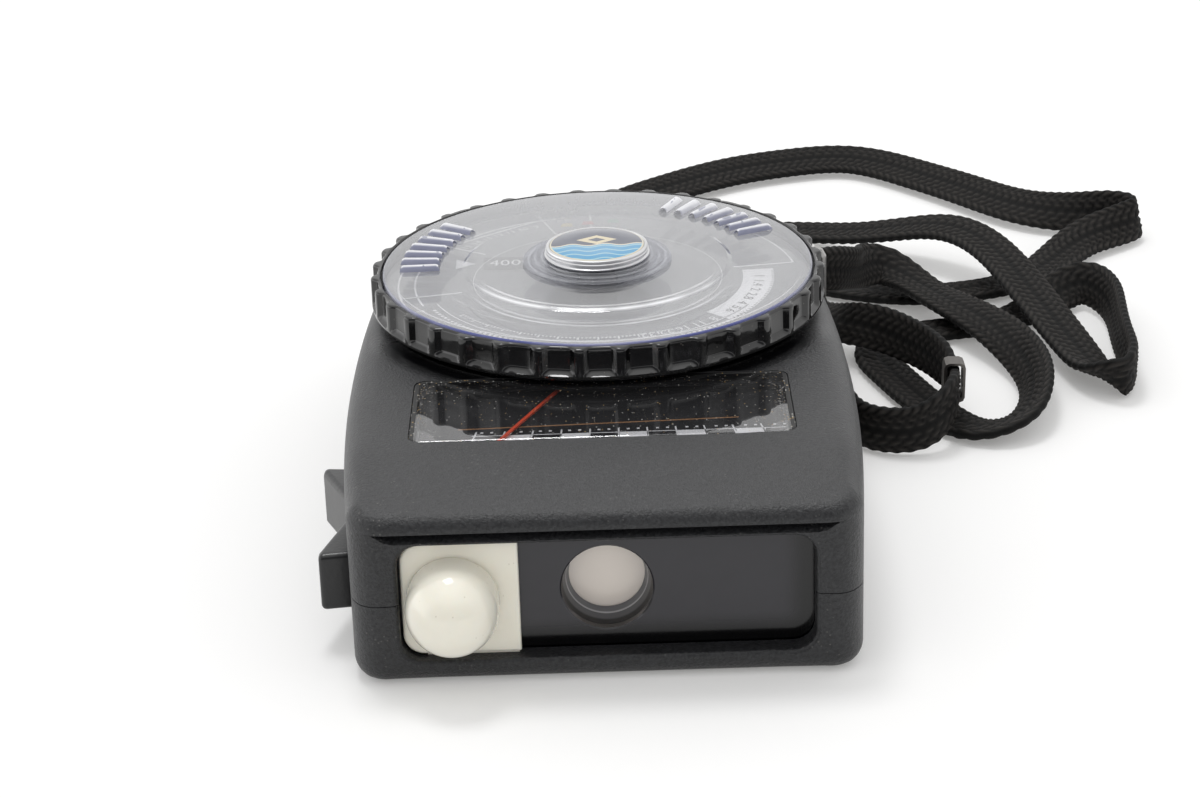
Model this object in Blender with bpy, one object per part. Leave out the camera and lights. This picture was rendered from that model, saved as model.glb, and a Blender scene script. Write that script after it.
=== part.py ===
"""Hand-held exposure meter: moulded case, sliding dome, moving needle, knurled calculator dial and neck strap.

Metres, +Z up. The origin is the centre of the case's flat underside, and the light window faces -Y.
"""
import math

import bmesh
import bpy
import numpy as np
from mathutils import Vector

# Clearances
GAP = 0.0003              # left between neighbouring pieces
OVERRUN = 0.003           # how far a cutter runs past what it cuts

# Case
BODY_LENGTH = 0.120
BODY_HEIGHT = 0.0272
BODY_HALF_WIDTH = 0.036   # at the widest place
WIDEST_FROM_FRONT = 0.043
SIDE_DRAW_IN = 0.00778    # each side is one long arc in plan, this much narrower at the back edge
FRONT_CORNER_RADIUS = 0.0055
BACK_CORNER_RADIUS = 0.012
BOTTOM_EDGE_RADIUS = 0.003
TOP_EDGE_RADIUS = 0.004
TAIL_EDGE_RADIUS = 0.009  # the deck's edge is rounded more round the back, behind the dial
TAIL_START_FROM_BACK = 0.030
TAIL_FULL_FROM_BACK = 0.010
NOSE_OVERHANG = 0.001     # the top shell's lip stands out over the front face
NOSE_UNDERSIDE_Z = 0.0227
NOSE_DROP = 0.0025        # the deck falls this much from the meter window to the nose
NOSE_EDGE_RADIUS = 0.0017  # the deck's edge is crisper along the nose
NOSE_EDGE_REACH = 0.007
NOSE_RELIEF_SIDE = 0.0042  # from the widest place's side to the end of the relief under the lip
PARTING_Z = 0.0119
WALL = 0.002
DECK_WALL = 0.0015
FRONT_WALL = 0.0031

# Light window
WINDOW_SIDE = 0.0085      # from the widest place's side to the window's edge
WINDOW_LOW_Z = 0.0036
WINDOW_HIGH_Z = 0.0205
WINDOW_CORNER_RADIUS = 0.003
PANEL_THICKNESS = 0.0012
PANEL_MARGIN = 0.0009     # how far the lens panel runs behind the window's edge
LENS_HOLE_RADIUS = 0.0061
CONE_DEPTH = 0.0030
CONE_RIM = 0.0016
CELL_APERTURE_RADIUS = 0.0051
FILTER_THICKNESS = 0.0010
FILTER_LAP = 0.0011
CELL_LENGTH = 0.0026
CELL_FLANGE = 0.0010

# Sliding diffuser
PLATE_WIDTH = 0.0156
PLATE_THICKNESS = 0.0015
PLATE_CORNER_RADIUS = 0.0028
TONGUE_HEIGHT = 0.0007
TONGUE_THICKNESS = 0.0006
NOTCH_WIDTH = 0.0040
NOTCH_HEIGHT = 0.0003
DOME_RADIUS = 0.00615
DOME_NECK = 0.0032        # straight part between the plate and the hemisphere
DOME_WALL = 0.0011
DOME_OFFSET = 0.0010       # the dome stands left of the plate's middle

# Meter window and movement
PANE_SIDE = 0.0096
PANE_NEAR_FROM_FRONT = 0.0185
PANE_LENGTH = 0.0212
PANE_CORNER_RADIUS = 0.0018
PANE_THICKNESS = 0.0010
PANE_LIP = 0.0012         # ledge that the pane rests on
SCALE_PLATE_THICKNESS = 0.0006
SCALE_PLATE_BELOW_DECK = 0.0027
SCALE_PLATE_MARGIN = 0.0018
PIVOT_BEFORE_DIAL = 0.0166
MOVEMENT_RADIUS = 0.0095
MOVEMENT_NOTCH = 0.0030
NEEDLE_SHORT = 0.0005     # the needle's tip stops this far behind the pane's near edge
NEEDLE_TAIL = 0.0060
NEEDLE_WIDTH = 0.0006
NEEDLE_THICKNESS = 0.0003
NEEDLE_HUB_RADIUS = 0.0020
NEEDLE_SHAFT_RADIUS = 0.0009
NEEDLE_SHAFT_LENGTH = 0.0080
NEEDLE_REST_SHARE = -0.14 # of a half turn, from straight ahead towards the left end of the scale

# Calculator dial
DIAL_FROM_FRONT_SHARE = 0.58
BASE_INSET = 0.0015       # the fixed base plate is this much smaller than the ring
BASE_THICKNESS = 0.0004
RING_RADIUS = 0.0341
RING_WALL = 0.00205
RING_HEIGHT = 0.0047
RING_FLOOR = 0.0015
RING_EDGE = 0.0003
SCALLOPS = 36
SCALLOP_DEPTH = 0.0007
SCALLOP_SILL = 0.0008     # plain band below the scallops
SCALLOP_RAMP = 0.0004
SLEEVE_OUTER_RADIUS = 0.0046
SLEEVE_LENGTH = 0.0073
POST_RADIUS = 0.0028
SCALE_DISC_THICKNESS = 0.0005
SCALE_DISC_PLAY = 0.00045
CLEAR_DISC_THICKNESS = 0.0022
CLEAR_STEP_INSET = 0.01175 # from the clear disc's edge to its raised middle
CLEAR_STEP = 0.0004
CLEAR_EDGE = 0.0004
GRIP_INSET = 0.00815      # from the clear disc's edge to the grip bars' inner ends
GRIP_LENGTH = 0.0062
GRIP_WIDTH = 0.0015
GRIP_HEIGHT = 0.0010
GRIP_TOP_WIDTH = 0.0009
GRIPS = 7
GRIP_PITCH = math.radians(6.4)
GRIP_GROUPS = (math.radians(163.0), math.radians(44.5))
HUB_FLANGE_RADIUS = 0.0112
HUB_FLANGE_THICKNESS = 0.0006
HUB_RADIUS = 0.0079
HUB_HEIGHT = 0.0014
HUB_STEP = 0.0006
HUB_EDGE = 0.0002
EMBLEM_RADIUS = 0.0066
EMBLEM_THICKNESS = 0.0004

# Rocker switch
ROCKER_FROM_FRONT = 0.02625
ROCKER_LENGTH = 0.0289
ROCKER_LOW_Z = 0.0054
ROCKER_HEIGHT = 0.0084
ROCKER_PROUD = 0.0042
ROCKER_NOTCH = 0.0038
ROCKER_CROWN = 0.0016     # how long each end stands at its full height before it slopes to the middle
ROCKER_MIDDLE = 0.0064    # the flush part between the two slopes
ROCKER_CORNER = 0.0008
ROCKER_SWING = math.radians(3.0)
ROCKER_SLOT_GAP = 0.0006
ROCKER_DEPTH = 0.0050     # behind the case's side
ROCKER_PIN_RADIUS = 0.0008
CONTACT_THICKNESS = 0.0008
CONTACT_LENGTH = 0.0200
CONTACT_HEIGHT = 0.0050

# Inside
BOARD_SIDE = 0.0090
BOARD_THICKNESS = 0.0016
BOARD_LOW_Z = 0.0060
BOARD_FRONT_GAP = 0.0100
POT_RADIUS = 0.0064
POT_TOP_Z = 0.0190
STANDOFF_RADIUS = 0.0022
BOSS_RADIUS = 0.0030
SCREW_RADIUS = 0.0011
SCREW_HEAD_RADIUS = 0.0022
SCREW_HEAD_HEIGHT = 0.0012
SCREW_SUNK = 0.0004
SCREW_LENGTH = 0.0100
SCREW_SLOT_WIDTH = 0.0006
SCREW_SLOT_DEPTH = 0.0005
BOSS_FRONT_FROM_FRONT = 0.0125
BOSS_FRONT_SIDE = 0.0095
BOSS_BACK_FROM_BACK = 0.0380
BOSS_BACK_SIDE = 0.0082
ZERO_SCREW_RADIUS = 0.0028
ZERO_SCREW_HEIGHT = 0.0022

# Battery and its cover
BATTERY_SIDE = 0.01175    # from the widest place's side to the battery's end
BATTERY_DEPTH = 0.0265
BATTERY_HEIGHT = 0.0175
BATTERY_CORNER_RADIUS = 0.0024
BATTERY_BACK_ROOM = 0.0030
COVER_SIDE = 0.0098
COVER_THICKNESS = 0.0016
COVER_FRONT_LAP = 0.0016
COVER_GRIP_RIBS = 5
COVER_GRIP_PITCH = 0.0018
COVER_GRIP_WIDTH = 0.0008
COVER_GRIP_DEPTH = 0.0004
COVER_GRIP_LENGTH = 0.0140
COVER_GRIP_FROM_BACK = 0.0080
SNAP_THICKNESS = 0.0022
SNAP_WIDTH = 0.0200
SNAP_HEIGHT = 0.0120
PARTITION_THICKNESS = 0.0014
PARTITION_HEIGHT = 0.0085

# Strap lug
LUG_FROM_BACK = 0.020
LUG_WIRE = 0.0014
LUG_HEIGHT = 0.0094
LUG_LOW_Z = 0.0134
LUG_PROUD = 0.0046
LUG_SUNK = 0.0012

# Places worked out from the sizes above
FRONT_Y = -BODY_LENGTH / 2
BACK_Y = BODY_LENGTH / 2
NOSE_Y = FRONT_Y - NOSE_OVERHANG
WIDEST_Y = FRONT_Y + WIDEST_FROM_FRONT
SIDE_RADIUS = ((BACK_Y - WIDEST_Y) ** 2 + SIDE_DRAW_IN ** 2) / SIDE_DRAW_IN / 2
DECK_Z = BODY_HEIGHT
CAVITY_Z = DECK_Z - DECK_WALL
WINDOW_Z = (WINDOW_LOW_Z + WINDOW_HIGH_Z) / 2
DIAL_Y = FRONT_Y + DIAL_FROM_FRONT_SHARE * BODY_LENGTH
PIVOT_Y = DIAL_Y - PIVOT_BEFORE_DIAL
PANE_Y = FRONT_Y + PANE_NEAR_FROM_FRONT
PANEL_Y = NOSE_Y + FRONT_WALL + NOSE_OVERHANG + GAP
ROCKER_Y = FRONT_Y + ROCKER_FROM_FRONT
LUG_Y = BACK_Y - LUG_FROM_BACK
BATTERY_Y = BACK_Y - WALL - BATTERY_BACK_ROOM - BATTERY_DEPTH / 2
COVER_Y = BATTERY_Y - BATTERY_DEPTH / 2 - COVER_FRONT_LAP
BOARD_TOP_Z = BOARD_LOW_Z + BOARD_THICKNESS
NOSE_RELIEF_HALF_WIDTH = BODY_HALF_WIDTH - NOSE_RELIEF_SIDE
WINDOW_HALF_WIDTH = BODY_HALF_WIDTH - WINDOW_SIDE
PANE_HALF_WIDTH = BODY_HALF_WIDTH - PANE_SIDE
BOARD_HALF_WIDTH = BODY_HALF_WIDTH - BOARD_SIDE
COVER_HALF_WIDTH = BODY_HALF_WIDTH - COVER_SIDE
BATTERY_LENGTH = 2 * (BODY_HALF_WIDTH - BATTERY_SIDE)
BOSS_FRONT_HALF_SPREAD = BODY_HALF_WIDTH - BOSS_FRONT_SIDE
BOSS_BACK_HALF_SPREAD = BODY_HALF_WIDTH - BOSS_BACK_SIDE
NEEDLE_LENGTH = PIVOT_Y - PANE_Y - NEEDLE_SHORT
BASE_RADIUS = RING_RADIUS - BASE_INSET
SCALE_DISC_RADIUS = RING_RADIUS - RING_WALL - SCALE_DISC_PLAY
CLEAR_RADIUS = RING_RADIUS - RING_WALL - GAP
CLEAR_STEP_RADIUS = CLEAR_RADIUS - CLEAR_STEP_INSET
GRIP_INNER_RADIUS = CLEAR_RADIUS - GRIP_INSET

for old in list(bpy.data.objects):
    bpy.data.objects.remove(old, do_unlink=True)


# Tools for shapes

def material(name, colour, roughness, metallic=0.0, alpha=1.0):
    mat = bpy.data.materials.get(name)
    if mat is None:
        mat = bpy.data.materials.new(name)
        mat.use_nodes = True
        shader = mat.node_tree.nodes["Principled BSDF"]
        shader.inputs["Base Color"].default_value = (*colour, 1.0)
        shader.inputs["Roughness"].default_value = roughness
        shader.inputs["Metallic"].default_value = metallic
        shader.inputs["Alpha"].default_value = alpha
    return mat


def solid(name, bm, mat=None, origin=(0, 0, 0), smooth=True):
    """Makes an object from a bmesh drawn in world space, with its origin where asked."""
    bmesh.ops.recalc_face_normals(bm, faces=bm.faces)
    bmesh.ops.translate(bm, verts=bm.verts, vec=-Vector(origin))
    mesh = bpy.data.meshes.new(name)
    bm.to_mesh(mesh)
    bm.free()
    if smooth:
        mesh.shade_smooth()
        mesh.set_sharp_from_angle(angle=math.radians(32))
    obj = bpy.data.objects.new(name, mesh)
    obj.location = origin
    bpy.context.scene.collection.objects.link(obj)
    if mat is not None:
        mesh.materials.append(mat)
    else:
        obj.hide_render = True
        obj.display_type = "WIRE"
    return obj


def combine(obj, other, operation="DIFFERENCE"):
    mod = obj.modifiers.new(operation.title() + " " + other.name, "BOOLEAN")
    mod.operation = operation
    mod.solver = "EXACT"
    mod.object = other
    return obj


def loft(rings, bm=None):
    """Skins a list of closed rings of points and caps both ends."""
    bm = bm or bmesh.new()
    loops = [[bm.verts.new(p) for p in ring] for ring in rings]
    for low, high in zip(loops, loops[1:]):
        n = len(low)
        for i in range(n):
            bm.faces.new((low[i], low[(i + 1) % n], high[(i + 1) % n], high[i]))
    bm.faces.new(loops[0][::-1])
    bm.faces.new(loops[-1])
    return bm


def circle(radius, z, centre=(0, 0), sides=48, start=0.0):
    return [(centre[0] + radius * math.cos(start + math.tau * i / sides),
             centre[1] + radius * math.sin(start + math.tau * i / sides), z) for i in range(sides)]


def turned(profile, centre=(0, 0), sides=48):
    """Turns an open profile of (radius, z) pairs, low end first, about a vertical axis."""
    return loft([circle(r, z, centre, sides) for r, z in profile])


def turned_tube(profile, bore, centre=(0, 0), sides=48):
    """The same with a round bore of one radius right through."""
    bm = bmesh.new()
    low, high = profile[0][1], profile[-1][1]
    rings = [circle(bore, low, centre, sides)]
    rings += [circle(r, z, centre, sides) for r, z in profile]
    rings += [circle(bore, high, centre, sides)]
    loops = [[bm.verts.new(p) for p in ring] for ring in rings]
    for a, b in zip(loops, loops[1:] + loops[:1]):
        for i in range(sides):
            j = (i + 1) % sides
            bm.faces.new((a[i], a[j], b[j], b[i]))
    return bm


def facing(bm, centre):
    """Lays a piece drawn about +Z down so that it looks out of the front, -Y, about a centre."""
    for v in bm.verts:
        x, y, z = v.co
        v.co = (centre[0] + x, centre[1] - z, centre[2] + y)
    return bm


def rounded(half_x, half_y, radius, steps=4, centre=(0, 0), radii=None):
    """Corner points of a rounded rectangle; radii may give each corner its own, from +X +Y round."""
    radii = radii or (radius,) * 4
    points = []
    for corner, r in enumerate(radii):
        sx = (1, -1, -1, 1)[corner]
        sy = (1, 1, -1, -1)[corner]
        cx, cy = centre[0] + sx * (half_x - r), centre[1] + sy * (half_y - r)
        count = steps if r > 0 else 0
        for k in range(count + 1):
            a = math.pi / 2 * (corner + (k / count if count else 0))
            points.append((cx + r * math.cos(a), cy + r * math.sin(a)))
    return points


def prism(points, low, high):
    return loft([[(x, y, low) for x, y in points], [(x, y, high) for x, y in points]])


def front_prism(points, low_y, high_y):
    """A prism of (x, z) points that runs along Y."""
    return loft([[(x, low_y, z) for x, z in points], [(x, high_y, z) for x, z in points]])


def block(low, high):
    x0, y0, z0 = low
    x1, y1, z1 = high
    return prism([(x0, y0), (x1, y0), (x1, y1), (x0, y1)], z0, z1)


def cutter(name, bm):
    return solid("cut_" + name, bm, smooth=False)


# The case's outline in plan, and the closed form that both shells are cut from

def half_width(y):
    return BODY_HALF_WIDTH - SIDE_RADIUS + math.sqrt(SIDE_RADIUS ** 2 - (y - WIDEST_Y) ** 2)


def outline(inset, front=NOSE_Y, back=BACK_Y):
    """Points round the case, right side first, set in from the outside by an even amount."""
    fy, by = front + FRONT_CORNER_RADIUS, back - BACK_CORNER_RADIUS
    right = []
    cx, r = half_width(fy) - FRONT_CORNER_RADIUS, FRONT_CORNER_RADIUS - inset
    front_share, corner_steps, side_steps, back_steps = (0, 0.3, 0.65), 5, 12, 6
    right += [(cx * s, front + inset) for s in front_share]
    right += [(cx + r * math.sin(math.pi / 2 * k / corner_steps),
               fy - r * math.cos(math.pi / 2 * k / corner_steps)) for k in range(corner_steps + 1)]
    for k in range(1, side_steps):
        y = fy + (by - fy) * k / side_steps
        right.append((half_width(y) - inset, y))
    cx, r = half_width(by) - BACK_CORNER_RADIUS, BACK_CORNER_RADIUS - inset
    right += [(cx + r * math.cos(math.pi / 2 * k / back_steps),
               by + r * math.sin(math.pi / 2 * k / back_steps)) for k in range(back_steps + 1)]
    right += [(cx * s, back - inset) for s in (0.5, 0)]
    return right + [(-x, y) for x, y in right[-2:0:-1]]


def nose_fall(y):
    s = min(max((PANE_Y - y) / (PANE_Y - NOSE_Y), 0), 1)
    return NOSE_DROP * s ** 1.5


def edge_steps(radius, count):
    return [(radius * (1 - math.sin(math.pi / 2 * k / count)),
             radius * (1 - math.cos(math.pi / 2 * k / count))) for k in range(count + 1)]


def tail_share(y):
    s = (y - BACK_Y + TAIL_START_FROM_BACK) / (TAIL_START_FROM_BACK - TAIL_FULL_FROM_BACK)
    s = min(max(s, 0), 1)
    return s * s * (3 - 2 * s)


def nose_share(y):
    s = min(max((NOSE_Y + NOSE_EDGE_REACH - y) / NOSE_EDGE_REACH, 0), 1)
    return s * s * (3 - 2 * s)


def case_form(inset, front, low, high, low_radius, high_radius):
    rings = []
    for d, rise in edge_steps(low_radius, 3):
        rings.append([(x, y, low + rise) for x, y in outline(inset + d, front)])
    # The top edge is crisper at the nose and rounder at the back, so each point of the outline has its own radius
    wall, rim = outline(inset, front), outline(inset + high_radius, front)
    radii = [high_radius * (1 - (1 - NOSE_EDGE_RADIUS / TOP_EDGE_RADIUS) * nose_share(y))
             + (TAIL_EDGE_RADIUS - TOP_EDGE_RADIUS) * tail_share(y) for x, y in wall]
    rings.append([(x, y, min(NOSE_UNDERSIDE_Z, high - r - nose_fall(y) - GAP)) for (x, y), r in zip(wall, radii)])
    for d, fall in reversed(edge_steps(high_radius, 4)):
        ring = []
        for (x0, y0), (x1, y1), r in zip(wall, rim, radii):
            in_share, down_share = d / high_radius * r / high_radius, r / high_radius
            x, y = x0 + (x1 - x0) * in_share, y0 + (y1 - y0) * in_share
            ring.append((x, y, high - fall * down_share - nose_fall(y)))
        rings.append(ring)
    top = rings[-1]
    for share in (0.94, 0.87, 0.8, 0.7, 0.35):
        spread = [(x * share, WIDEST_Y + (y - WIDEST_Y) * share) for x, y, z in top]
        rings.append([(x, y, high - nose_fall(y)) for x, y in spread])
    return loft(rings)


def above(z):
    return block((-BODY_LENGTH, -BODY_LENGTH, z), (BODY_LENGTH, BODY_LENGTH, z + BODY_LENGTH))


def below(z):
    return block((-BODY_LENGTH, -BODY_LENGTH, z - BODY_LENGTH), (BODY_LENGTH, BODY_LENGTH, z))


CASE = material("case_plastic", (0.040, 0.042, 0.046), 0.55)
GLOSS_BLACK = material("gloss_black", (0.012, 0.012, 0.014), 0.18)
LENS_BLACK = material("lens_black", (0.006, 0.006, 0.009), 0.08)
IVORY = material("ivory", (0.86, 0.83, 0.74), 0.25)
CLEAR = material("clear_plastic", (0.70, 0.74, 0.82), 0.05, alpha=0.30)
PRINT_DARK = material("print_dark", (0.030, 0.032, 0.036), 0.45)
ALUMINIUM = material("bright_aluminium", (0.80, 0.81, 0.82), 0.28, 1.0)
STEEL = material("steel", (0.50, 0.50, 0.52), 0.35, 1.0)
RED = material("needle_red", (0.80, 0.06, 0.02), 0.40)
FILTER = material("cell_filter", (0.62, 0.57, 0.58), 0.15)
GREY = material("cone_grey", (0.20, 0.21, 0.22), 0.35)
BOARD = material("circuit_green", (0.03, 0.16, 0.07), 0.45)
CELL_CAN = material("cell_wrap", (0.10, 0.10, 0.12), 0.35, 0.3)
BRASS = material("brass", (0.75, 0.55, 0.25), 0.35, 1.0)
STRAP = material("strap_braid", (0.015, 0.014, 0.013), 0.90)
EMBLEM = material("emblem_enamel", (0.05, 0.20, 0.40), 0.20)

# Shells
cavity_front = PANEL_Y - GAP - WALL
top_shell = solid("top_shell", case_form(0, NOSE_Y, 0, DECK_Z, BOTTOM_EDGE_RADIUS, TOP_EDGE_RADIUS), CASE)
bottom_shell = solid("bottom_shell", case_form(0, NOSE_Y, 0, DECK_Z, BOTTOM_EDGE_RADIUS, TOP_EDGE_RADIUS), CASE)
cavity = cutter("cavity", case_form(WALL, cavity_front, WALL, CAVITY_Z, WALL / 2, WALL / 2))
combine(top_shell, cavity)
combine(bottom_shell, cavity)
combine(top_shell, cutter("below_seam", below(PARTING_Z + GAP)))
combine(bottom_shell, cutter("above_seam", above(PARTING_Z)))

relief = cutter("front_relief", block((-NOSE_RELIEF_HALF_WIDTH, NOSE_Y - OVERRUN, -OVERRUN),
                                      (NOSE_RELIEF_HALF_WIDTH, FRONT_Y, NOSE_UNDERSIDE_Z)))
window_points = rounded(WINDOW_HALF_WIDTH, (WINDOW_HIGH_Z - WINDOW_LOW_Z) / 2, WINDOW_CORNER_RADIUS,
                        centre=(0, WINDOW_Z))
window = cutter("light_window", front_prism(window_points, NOSE_Y - OVERRUN, PANEL_Y + OVERRUN))
plate_front = PANEL_Y - GAP - PLATE_THICKNESS
groove_mid = PANEL_Y - GAP - PLATE_THICKNESS / 2
tongue_half = TONGUE_THICKNESS / 2
groove = cutter("tongue_groove", block(
    (-WINDOW_HALF_WIDTH + WINDOW_CORNER_RADIUS, groove_mid - tongue_half - GAP / 2, WINDOW_LOW_Z - TONGUE_HEIGHT - GAP),
    (WINDOW_HALF_WIDTH - WINDOW_CORNER_RADIUS, groove_mid + tongue_half + GAP / 2,
     WINDOW_HIGH_Z + TONGUE_HEIGHT + GAP)))
for shell in (top_shell, bottom_shell):
    combine(shell, relief)
    combine(shell, window)
    combine(shell, groove)

# Lens panel, cone, filter and cell, set one behind the other
panel_half_x = WINDOW_HALF_WIDTH + PANEL_MARGIN
panel_half_z = (WINDOW_HIGH_Z - WINDOW_LOW_Z) / 2 + PANEL_MARGIN
lens_panel = solid("lens_panel", front_prism(
    rounded(panel_half_x, panel_half_z, WINDOW_CORNER_RADIUS, centre=(0, WINDOW_Z)),
    PANEL_Y, PANEL_Y + PANEL_THICKNESS), LENS_BLACK)
combine(lens_panel, cutter("lens_hole", facing(
    turned([(LENS_HOLE_RADIUS, -OVERRUN), (LENS_HOLE_RADIUS, OVERRUN)]), (0, PANEL_Y, WINDOW_Z))))
cone_y = PANEL_Y + PANEL_THICKNESS + GAP
cone_outer = LENS_HOLE_RADIUS + CONE_RIM
lens_cone = solid("lens_cone", facing(turned([(cone_outer, -CONE_DEPTH), (cone_outer, 0)]),
                                      (0, cone_y, WINDOW_Z)), GREY)
taper = (LENS_HOLE_RADIUS - CELL_APERTURE_RADIUS) / CONE_DEPTH
combine(lens_cone, cutter("cone_bore", facing(
    turned([(CELL_APERTURE_RADIUS - taper * GAP, -CONE_DEPTH - GAP), (LENS_HOLE_RADIUS + taper * GAP, GAP)]),
    (0, cone_y, WINDOW_Z))))
filter_y = cone_y + CONE_DEPTH + GAP
filter_radius = CELL_APERTURE_RADIUS + FILTER_LAP
cell_filter = solid("cell_filter", facing(turned(
    [(filter_radius, -FILTER_THICKNESS), (filter_radius, 0)], sides=32), (0, filter_y, WINDOW_Z)), FILTER)
cell_y = filter_y + FILTER_THICKNESS + GAP
photocell = solid("photocell", facing(turned(
    [(CELL_APERTURE_RADIUS, -CELL_LENGTH), (CELL_APERTURE_RADIUS, -CELL_FLANGE),
     (filter_radius, -CELL_FLANGE), (filter_radius, 0)], sides=32), (0, cell_y, WINDOW_Z)), STEEL)

# Diffuser: a plate with tongues in the window's grooves, and a hollow dome on it
plate_x = -WINDOW_HALF_WIDTH + GAP + PLATE_WIDTH / 2
plate_low, plate_high = WINDOW_LOW_Z + GAP, WINDOW_HIGH_Z - GAP
plate_half_z = (plate_high - plate_low) / 2
diffuser_plate = solid("diffuser_plate", front_prism(
    rounded(PLATE_WIDTH / 2, plate_half_z, 0, centre=(plate_x, WINDOW_Z),
            radii=(0, PLATE_CORNER_RADIUS, PLATE_CORNER_RADIUS, 0)),
    plate_front, plate_front + PLATE_THICKNESS), IVORY)
dome_x = plate_x - DOME_OFFSET
tongues = cutter("tongues", block(
    (plate_x - PLATE_WIDTH / 2 + PLATE_CORNER_RADIUS + GAP, groove_mid - tongue_half, plate_low - TONGUE_HEIGHT),
    (plate_x + PLATE_WIDTH / 2 - GAP, groove_mid + tongue_half, plate_high + TONGUE_HEIGHT)))
combine(diffuser_plate, tongues, "UNION")
combine(diffuser_plate, cutter("plate_notch", block(
    (plate_x + GAP, plate_front - OVERRUN, WINDOW_LOW_Z - OVERRUN),
    (plate_x + NOTCH_WIDTH + GAP, groove_mid - tongue_half, plate_low + NOTCH_HEIGHT))))
arc = [(DOME_RADIUS, 0), (DOME_RADIUS, DOME_NECK)]
arc += [(DOME_RADIUS * math.cos(math.pi / 2 * k / 8), DOME_NECK + DOME_RADIUS * math.sin(math.pi / 2 * k / 8))
        for k in range(1, 8)]
hollow_radius = DOME_RADIUS - DOME_WALL
hollow = [(hollow_radius, -GAP), (hollow_radius, DOME_NECK)]
hollow += [(hollow_radius * math.cos(math.pi / 2 * k / 5), DOME_NECK + hollow_radius * math.sin(math.pi / 2 * k / 5))
           for k in range(1, 5)]
diffuser_dome = solid("diffuser_dome", facing(turned(arc, sides=36), (dome_x, plate_front - GAP, WINDOW_Z)), IVORY)
combine(diffuser_dome, cutter("dome_hollow", facing(turned(hollow, sides=24),
                                                    (dome_x, plate_front - GAP, WINDOW_Z))))

# Meter window: the pane rests on a ledge cut into the deck, over an opening
pane_mid_y = PANE_Y + PANE_LENGTH / 2
pane_points = rounded(PANE_HALF_WIDTH, PANE_LENGTH / 2, PANE_CORNER_RADIUS, centre=(0, pane_mid_y))
pane_top = DECK_Z
pane_low = pane_top - PANE_THICKNESS
meter_window = solid("meter_window", prism(rounded(
    PANE_HALF_WIDTH - GAP, PANE_LENGTH / 2 - GAP, PANE_CORNER_RADIUS, centre=(0, pane_mid_y)),
    pane_low, pane_top), CLEAR)
combine(top_shell, cutter("pane_seat", prism(pane_points, pane_low - GAP, DECK_Z + OVERRUN)))
combine(top_shell, cutter("scale_opening", prism(rounded(
    PANE_HALF_WIDTH - PANE_LIP, PANE_LENGTH / 2 - PANE_LIP, PANE_CORNER_RADIUS, centre=(0, pane_mid_y)),
    CAVITY_Z - OVERRUN, DECK_Z)))

# Movement, its scale plate and the needle
scale_top = DECK_Z - SCALE_PLATE_BELOW_DECK
scale_low = scale_top - SCALE_PLATE_THICKNESS
plate_near, plate_far = PANE_Y - SCALE_PLATE_MARGIN, PIVOT_Y + MOVEMENT_RADIUS
scale_plate = solid("scale_plate", prism(rounded(
    PANE_HALF_WIDTH + SCALE_PLATE_MARGIN, (plate_far - plate_near) / 2, SCALE_PLATE_MARGIN,
    centre=(0, (plate_far + plate_near) / 2)), scale_low, scale_top), PRINT_DARK)
combine(scale_plate, cutter("pivot_hole", turned(
    [(NEEDLE_HUB_RADIUS, scale_low - OVERRUN), (NEEDLE_HUB_RADIUS, scale_top + OVERRUN)], (0, PIVOT_Y), 20)))
movement_top = scale_low - GAP
meter_movement = solid("meter_movement", turned(
    [(MOVEMENT_RADIUS, BOARD_TOP_Z + GAP), (MOVEMENT_RADIUS, movement_top)], (0, PIVOT_Y), 32), STEEL)
bore = NEEDLE_SHAFT_RADIUS + GAP
combine(meter_movement, cutter("movement_bore", turned(
    [(bore, movement_top - NEEDLE_SHAFT_LENGTH), (bore, movement_top + OVERRUN)], (0, PIVOT_Y), 20)))
combine(meter_movement, cutter("movement_notch", block(
    (-MOVEMENT_NOTCH / 2, PIVOT_Y - MOVEMENT_RADIUS - OVERRUN, movement_top - NEEDLE_SHAFT_LENGTH),
    (MOVEMENT_NOTCH / 2, PIVOT_Y - MOVEMENT_RADIUS / 2, movement_top + OVERRUN))))
needle_low = scale_top + GAP
needle_high = needle_low + NEEDLE_THICKNESS
needle = solid("needle", turned(
    [(NEEDLE_SHAFT_RADIUS, movement_top + GAP - NEEDLE_SHAFT_LENGTH), (NEEDLE_SHAFT_RADIUS, needle_low),
     (NEEDLE_HUB_RADIUS - GAP, needle_low), (NEEDLE_HUB_RADIUS - GAP, needle_high)], (0, PIVOT_Y), 20), RED,
    origin=(0, PIVOT_Y, 0))
half = NEEDLE_WIDTH / 2
pointer = cutter("pointer", prism([(half, NEEDLE_TAIL), (-half, NEEDLE_TAIL), (-half, -NEEDLE_LENGTH),
                                   (half / 2, -NEEDLE_LENGTH)], needle_low, needle_high))
pointer.location = (0, PIVOT_Y, 0)
pointer.rotation_euler = (0, 0, NEEDLE_REST_SHARE * math.pi)
combine(needle, pointer, "UNION")

# Dial: a fixed base and post, the knurled ring with its sleeve, two discs and the hub
base_low = DECK_Z + GAP
base_high = base_low + BASE_THICKNESS
sleeve_hole = SLEEVE_OUTER_RADIUS + GAP
dial_base = solid("dial_base", turned_tube([(BASE_RADIUS, base_low), (BASE_RADIUS, base_high)],
                                           sleeve_hole, (0, DIAL_Y), 64), GLOSS_BLACK)
combine(top_shell, cutter("sleeve_hole", turned(
    [(sleeve_hole, CAVITY_Z - OVERRUN), (sleeve_hole, DECK_Z + OVERRUN)], (0, DIAL_Y), 32)))

ring_low = base_high + GAP
ring_high = ring_low + RING_HEIGHT
floor_top = ring_low + RING_FLOOR
ring_bore = POST_RADIUS + GAP


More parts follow.
